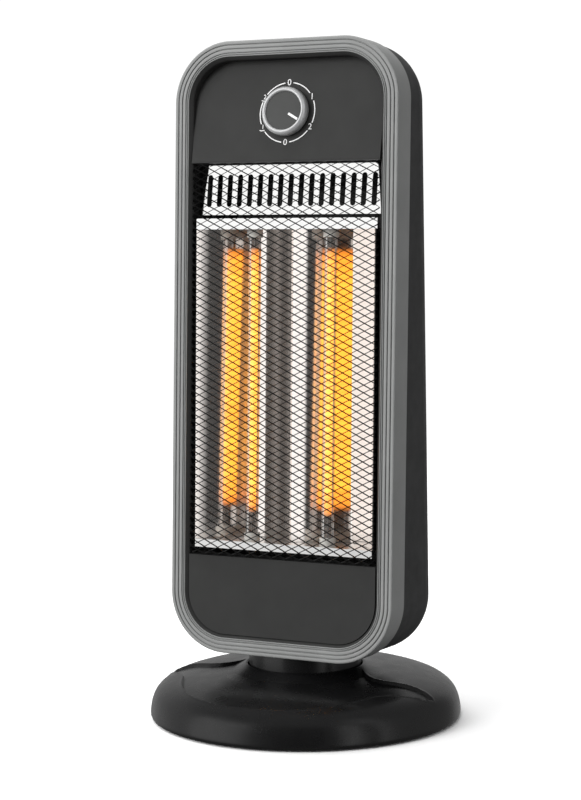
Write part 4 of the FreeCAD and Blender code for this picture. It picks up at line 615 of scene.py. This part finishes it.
def text(name, body_text, x, y, size, mat, body, place):
    c = bpy.data.curves.new(name, "FONT")
    c.body = body_text
    c.align_x = "CENTER"
    c.align_y = "CENTER"
    c.size = size * MM
    c.extrude = 0.05 * MM
    o = bpy.data.objects.new(name, c)
    scene.collection.objects.link(o)
    bpy.context.view_layer.update()
    dg = bpy.context.evaluated_depsgraph_get()
    me = bpy.data.meshes.new_from_object(o.evaluated_get(dg))
    bpy.data.objects.remove(o)
    me.transform(place @ Matrix.Translation((x * MM, y * MM, 0.02 * MM)))
    me.materials.clear()
    me.materials.append(mat)
    m = bpy.data.objects.new(name, me)
    scene.collection.objects.link(m)
    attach(m, body)
    return m


RING = 24.7
for k in range(6):
    a = 90 - 60 * k
    flat_arc("dial_arc_%d" % k, RING, 0.85, a - 8.5, a - 51.5, 0.06, M_WHITE, "tower", DIAL, 24)
for k, word in ((0, "0"), (1, "1"), (2, "2"), (3, "0"), (4, "1"), (5, "2")):
    a = math.radians(90 - 60 * k)
    sway = k > 3
    text("dial_num_%d" % k, word, RING * math.cos(a), RING * math.sin(a) + (0.9 if sway else 0.0), 5.4 if sway else 7.2, M_WHITE, "tower", DIAL)
    if sway:
        # short bowed stroke under the swinging settings
        cx, cy = RING * math.cos(a) - 0.5, RING * math.sin(a) - 2.3
        flat_arc("dial_sway_%d" % k, 6.0, 0.7, -112.0, -68.0, 0.06, M_WHITE, "tower", DIAL @ Matrix.Translation((cx * MM, (cy + 6.0) * MM, 0.0)), 10)

# ------------------------------------------------------------------ finishes for the CAD nodes that stay in view
FINISH = {
    "rear_cover": M_REAR, "front_panel": M_PANEL, "neck_skirt": M_BASE, "vent_plate": M_SHEET, "reflector_top": M_SHEET, "reflector_bottom": M_PLATE,
    "quartz_tube_left": M_QUARTZ, "quartz_tube_right": M_QUARTZ, "filament_left": M_ELEMENT, "filament_right": M_ELEMENT, "tube_caps": M_CERAMIC,
    "knob_pointer": M_WHITE, "base_plate": M_REAR, "rubber_feet": M_RUBBER, "cord_gland": M_RUBBER, "terminal_block": M_GEAR, "swivel_bush": M_GEAR,
    "sector_gear": M_GEAR, "motor_pinion": M_GEAR, "tip_plunger": M_GEAR, "tip_switch": M_REAR, "rotary_switch": M_REAR, "heat_shield": M_SHIELD, "thermal_cutout": M_SHIELD,
}
for name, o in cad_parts.items():
    m = FINISH.get(name, M_STEEL)
    o.data.materials.clear()
    o.data.materials.append(m)

# ------------------------------------------------------------------ floor, light, camera


def floor_mat():
    k = Mat("floor")
    k.link(k.ramp(k.noise(3.0, 3.0), [(0.3, (0.90, 0.90, 0.90)), (0.7, (0.92, 0.92, 0.92))]), k.b.inputs["Base Color"])
    k.b.inputs["Roughness"].default_value = 0.7
    k.b.inputs["Specular IOR Level"].default_value = 0.2
    return k.m


fl = bpy.data.meshes.new("floor")
fl.from_pydata([(1.8 * math.cos(2 * math.pi * k / 64), 1.8 * math.sin(2 * math.pi * k / 64), 0.0) for k in range(64)], [], [tuple(range(64))])
fl.materials.append(floor_mat())
flo = bpy.data.objects.new("floor", fl)
scene.collection.objects.link(flo)
flo.visible_diffuse = False
flo.visible_glossy = False

# studio: neutral white panels to the left front and the right, dark in between, grey behind and above
w = bpy.data.worlds.new("studio")
scene.world = w
w.use_nodes = True
nt = w.node_tree
nt.nodes.clear()
wo = nt.nodes.new("ShaderNodeOutputWorld")
bg = nt.nodes.new("ShaderNodeBackground")
nt.links.new(bg.outputs[0], wo.inputs[0])
tc = nt.nodes.new("ShaderNodeTexCoord")
sx = nt.nodes.new("ShaderNodeSeparateXYZ")
nt.links.new(tc.outputs["Generated"], sx.inputs[0])
neg = nt.nodes.new("ShaderNodeMath"); neg.operation = "MULTIPLY"; neg.inputs[1].default_value = -1.0
nt.links.new(sx.outputs[1], neg.inputs[0])
az = nt.nodes.new("ShaderNodeMath"); az.operation = "ARCTAN2"
nt.links.new(sx.outputs[0], az.inputs[0])
nt.links.new(neg.outputs[0], az.inputs[1])
mr = nt.nodes.new("ShaderNodeMapRange")
mr.inputs[1].default_value = -math.pi
mr.inputs[2].default_value = math.pi
nt.links.new(az.outputs[0], mr.inputs[0])
rp = nt.nodes.new("ShaderNodeValToRGB")
AZ = [(-180, 0.46), (-80, 0.45), (-69, 0.35), (-65, 1.07), (-21, 1.07), (-18, 0.11), (-14, 0.12), (-7, 0.27), (-3, 0.12), (30, 0.07), (52, 0.07), (54.5, 1.07), (66.3, 1.07), (68.5, 0.07), (80.5, 0.07),
      (83.8, 1.07), (87.5, 1.07), (89.5, 0.32), (125, 0.28), (160, 0.18), (174, 0.46), (180, 0.46)]
el = rp.color_ramp.elements
while len(el) < len(AZ):
    el.new(0.5)
for e, (a, b) in zip(el, AZ):
    e.position = (a + 180) / 360.0
    e.color = (b, b, b, 1)
nt.links.new(mr.outputs[0], rp.inputs[0])
up = nt.nodes.new("ShaderNodeMapRange")
up.interpolation_type = "SMOOTHSTEP"
up.inputs[1].default_value = 0.45
up.inputs[2].default_value = 0.8
nt.links.new(sx.outputs[2], up.inputs[0])
mx = nt.nodes.new("ShaderNodeMix"); mx.data_type = "RGBA"
nt.links.new(up.outputs[0], mx.inputs[0])
nt.links.new(rp.outputs[0], mx.inputs[6])
mx.inputs[7].default_value = (0.25, 0.25, 0.25, 1.0)
# below the horizon the studio falls off to a dark ground
dn = nt.nodes.new("ShaderNodeMapRange")
dn.interpolation_type = "SMOOTHSTEP"
dn.inputs[1].default_value = -0.16
dn.inputs[2].default_value = -0.50
nt.links.new(sx.outputs[2], dn.inputs[0])
gr = nt.nodes.new("ShaderNodeMix"); gr.data_type = "RGBA"
nt.links.new(dn.outputs[0], gr.inputs[0])
nt.links.new(mx.outputs[2], gr.inputs[6])
gr.inputs[7].default_value = (0.14, 0.14, 0.14, 1.0)
# the backdrop itself is plain white from every side
lp = nt.nodes.new("ShaderNodeLightPath")
plain = nt.nodes.new("ShaderNodeMix"); plain.data_type = "RGBA"
nt.links.new(lp.outputs["Is Camera Ray"], plain.inputs[0])
nt.links.new(gr.outputs[2], plain.inputs[6])
plain.inputs[7].default_value = (1.06, 1.06, 1.06, 1.0)
nt.links.new(plain.outputs[2], bg.inputs[0])
# more fill on matt surfaces than the mirrors show
fill = nt.nodes.new("ShaderNodeMath"); fill.operation = "MULTIPLY_ADD"
fill.inputs[1].default_value = 0.9
fill.inputs[2].default_value = 1.0
nt.links.new(lp.outputs["Is Diffuse Ray"], fill.inputs[0])
nt.links.new(fill.outputs[0], bg.inputs[1])


def area(name, loc, target, size_x, size_y, power, tint=(1.0, 1.0, 1.0)):
    d = bpy.data.lights.new(name, "AREA")
    d.shape = "RECTANGLE"
    d.size, d.size_y, d.energy = size_x, size_y, power
    d.color = tint
    o = bpy.data.objects.new(name, d)
    o.location = loc
    o.rotation_euler = (Vector(target) - Vector(loc)).to_track_quat("-Z", "Y").to_euler()
    scene.collection.objects.link(o)
    return o


top = area("soft_top", (-0.7, 0.5, 1.9), (0, 0.1, 0), 2.4, 1.8, 50.0)
top.visible_glossy = False
key = area("soft_left", (-0.95, -2.3, 1.2), (0, 0, 0.35), 1.2, 1.2, 46.0)
key.visible_glossy = False
high = area("soft_high", (-1.0, -1.15, 1.75), (0, 0, 0.1), 0.9, 0.9, 9.0)
high.visible_glossy = False
area("soft_right", (1.5, -0.35, 1.7), (0, 0, 0.25), 0.6, 0.9, 0.6)

cam = bpy.data.cameras.new("camera")
cam.sensor_fit = "AUTO"
cam.sensor_width = 36.0
cam.lens = 2073.04 * 36.0 / 800.0
cam.dof.use_dof = False
co = bpy.data.objects.new("camera", cam)
a, p, ro = math.radians(26.534), math.radians(5.256), -0.01037
fw = Vector((-math.sin(a) * math.cos(p), math.cos(a) * math.cos(p), -math.sin(p)))
rt = Vector((math.cos(a), math.sin(a), 0))
upv = rt.cross(fw)
r2 = rt * math.cos(ro) + upv * math.sin(ro)
u2 = -rt * math.sin(ro) + upv * math.cos(ro)
m = Matrix((r2, u2, -fw)).transposed().to_4x4()
m.translation = Vector((0.75914, -1.54304, 0.42357))
co.matrix_world = m
scene.collection.objects.link(co)
scene.camera = co
scene.view_settings.view_transform = "Standard"
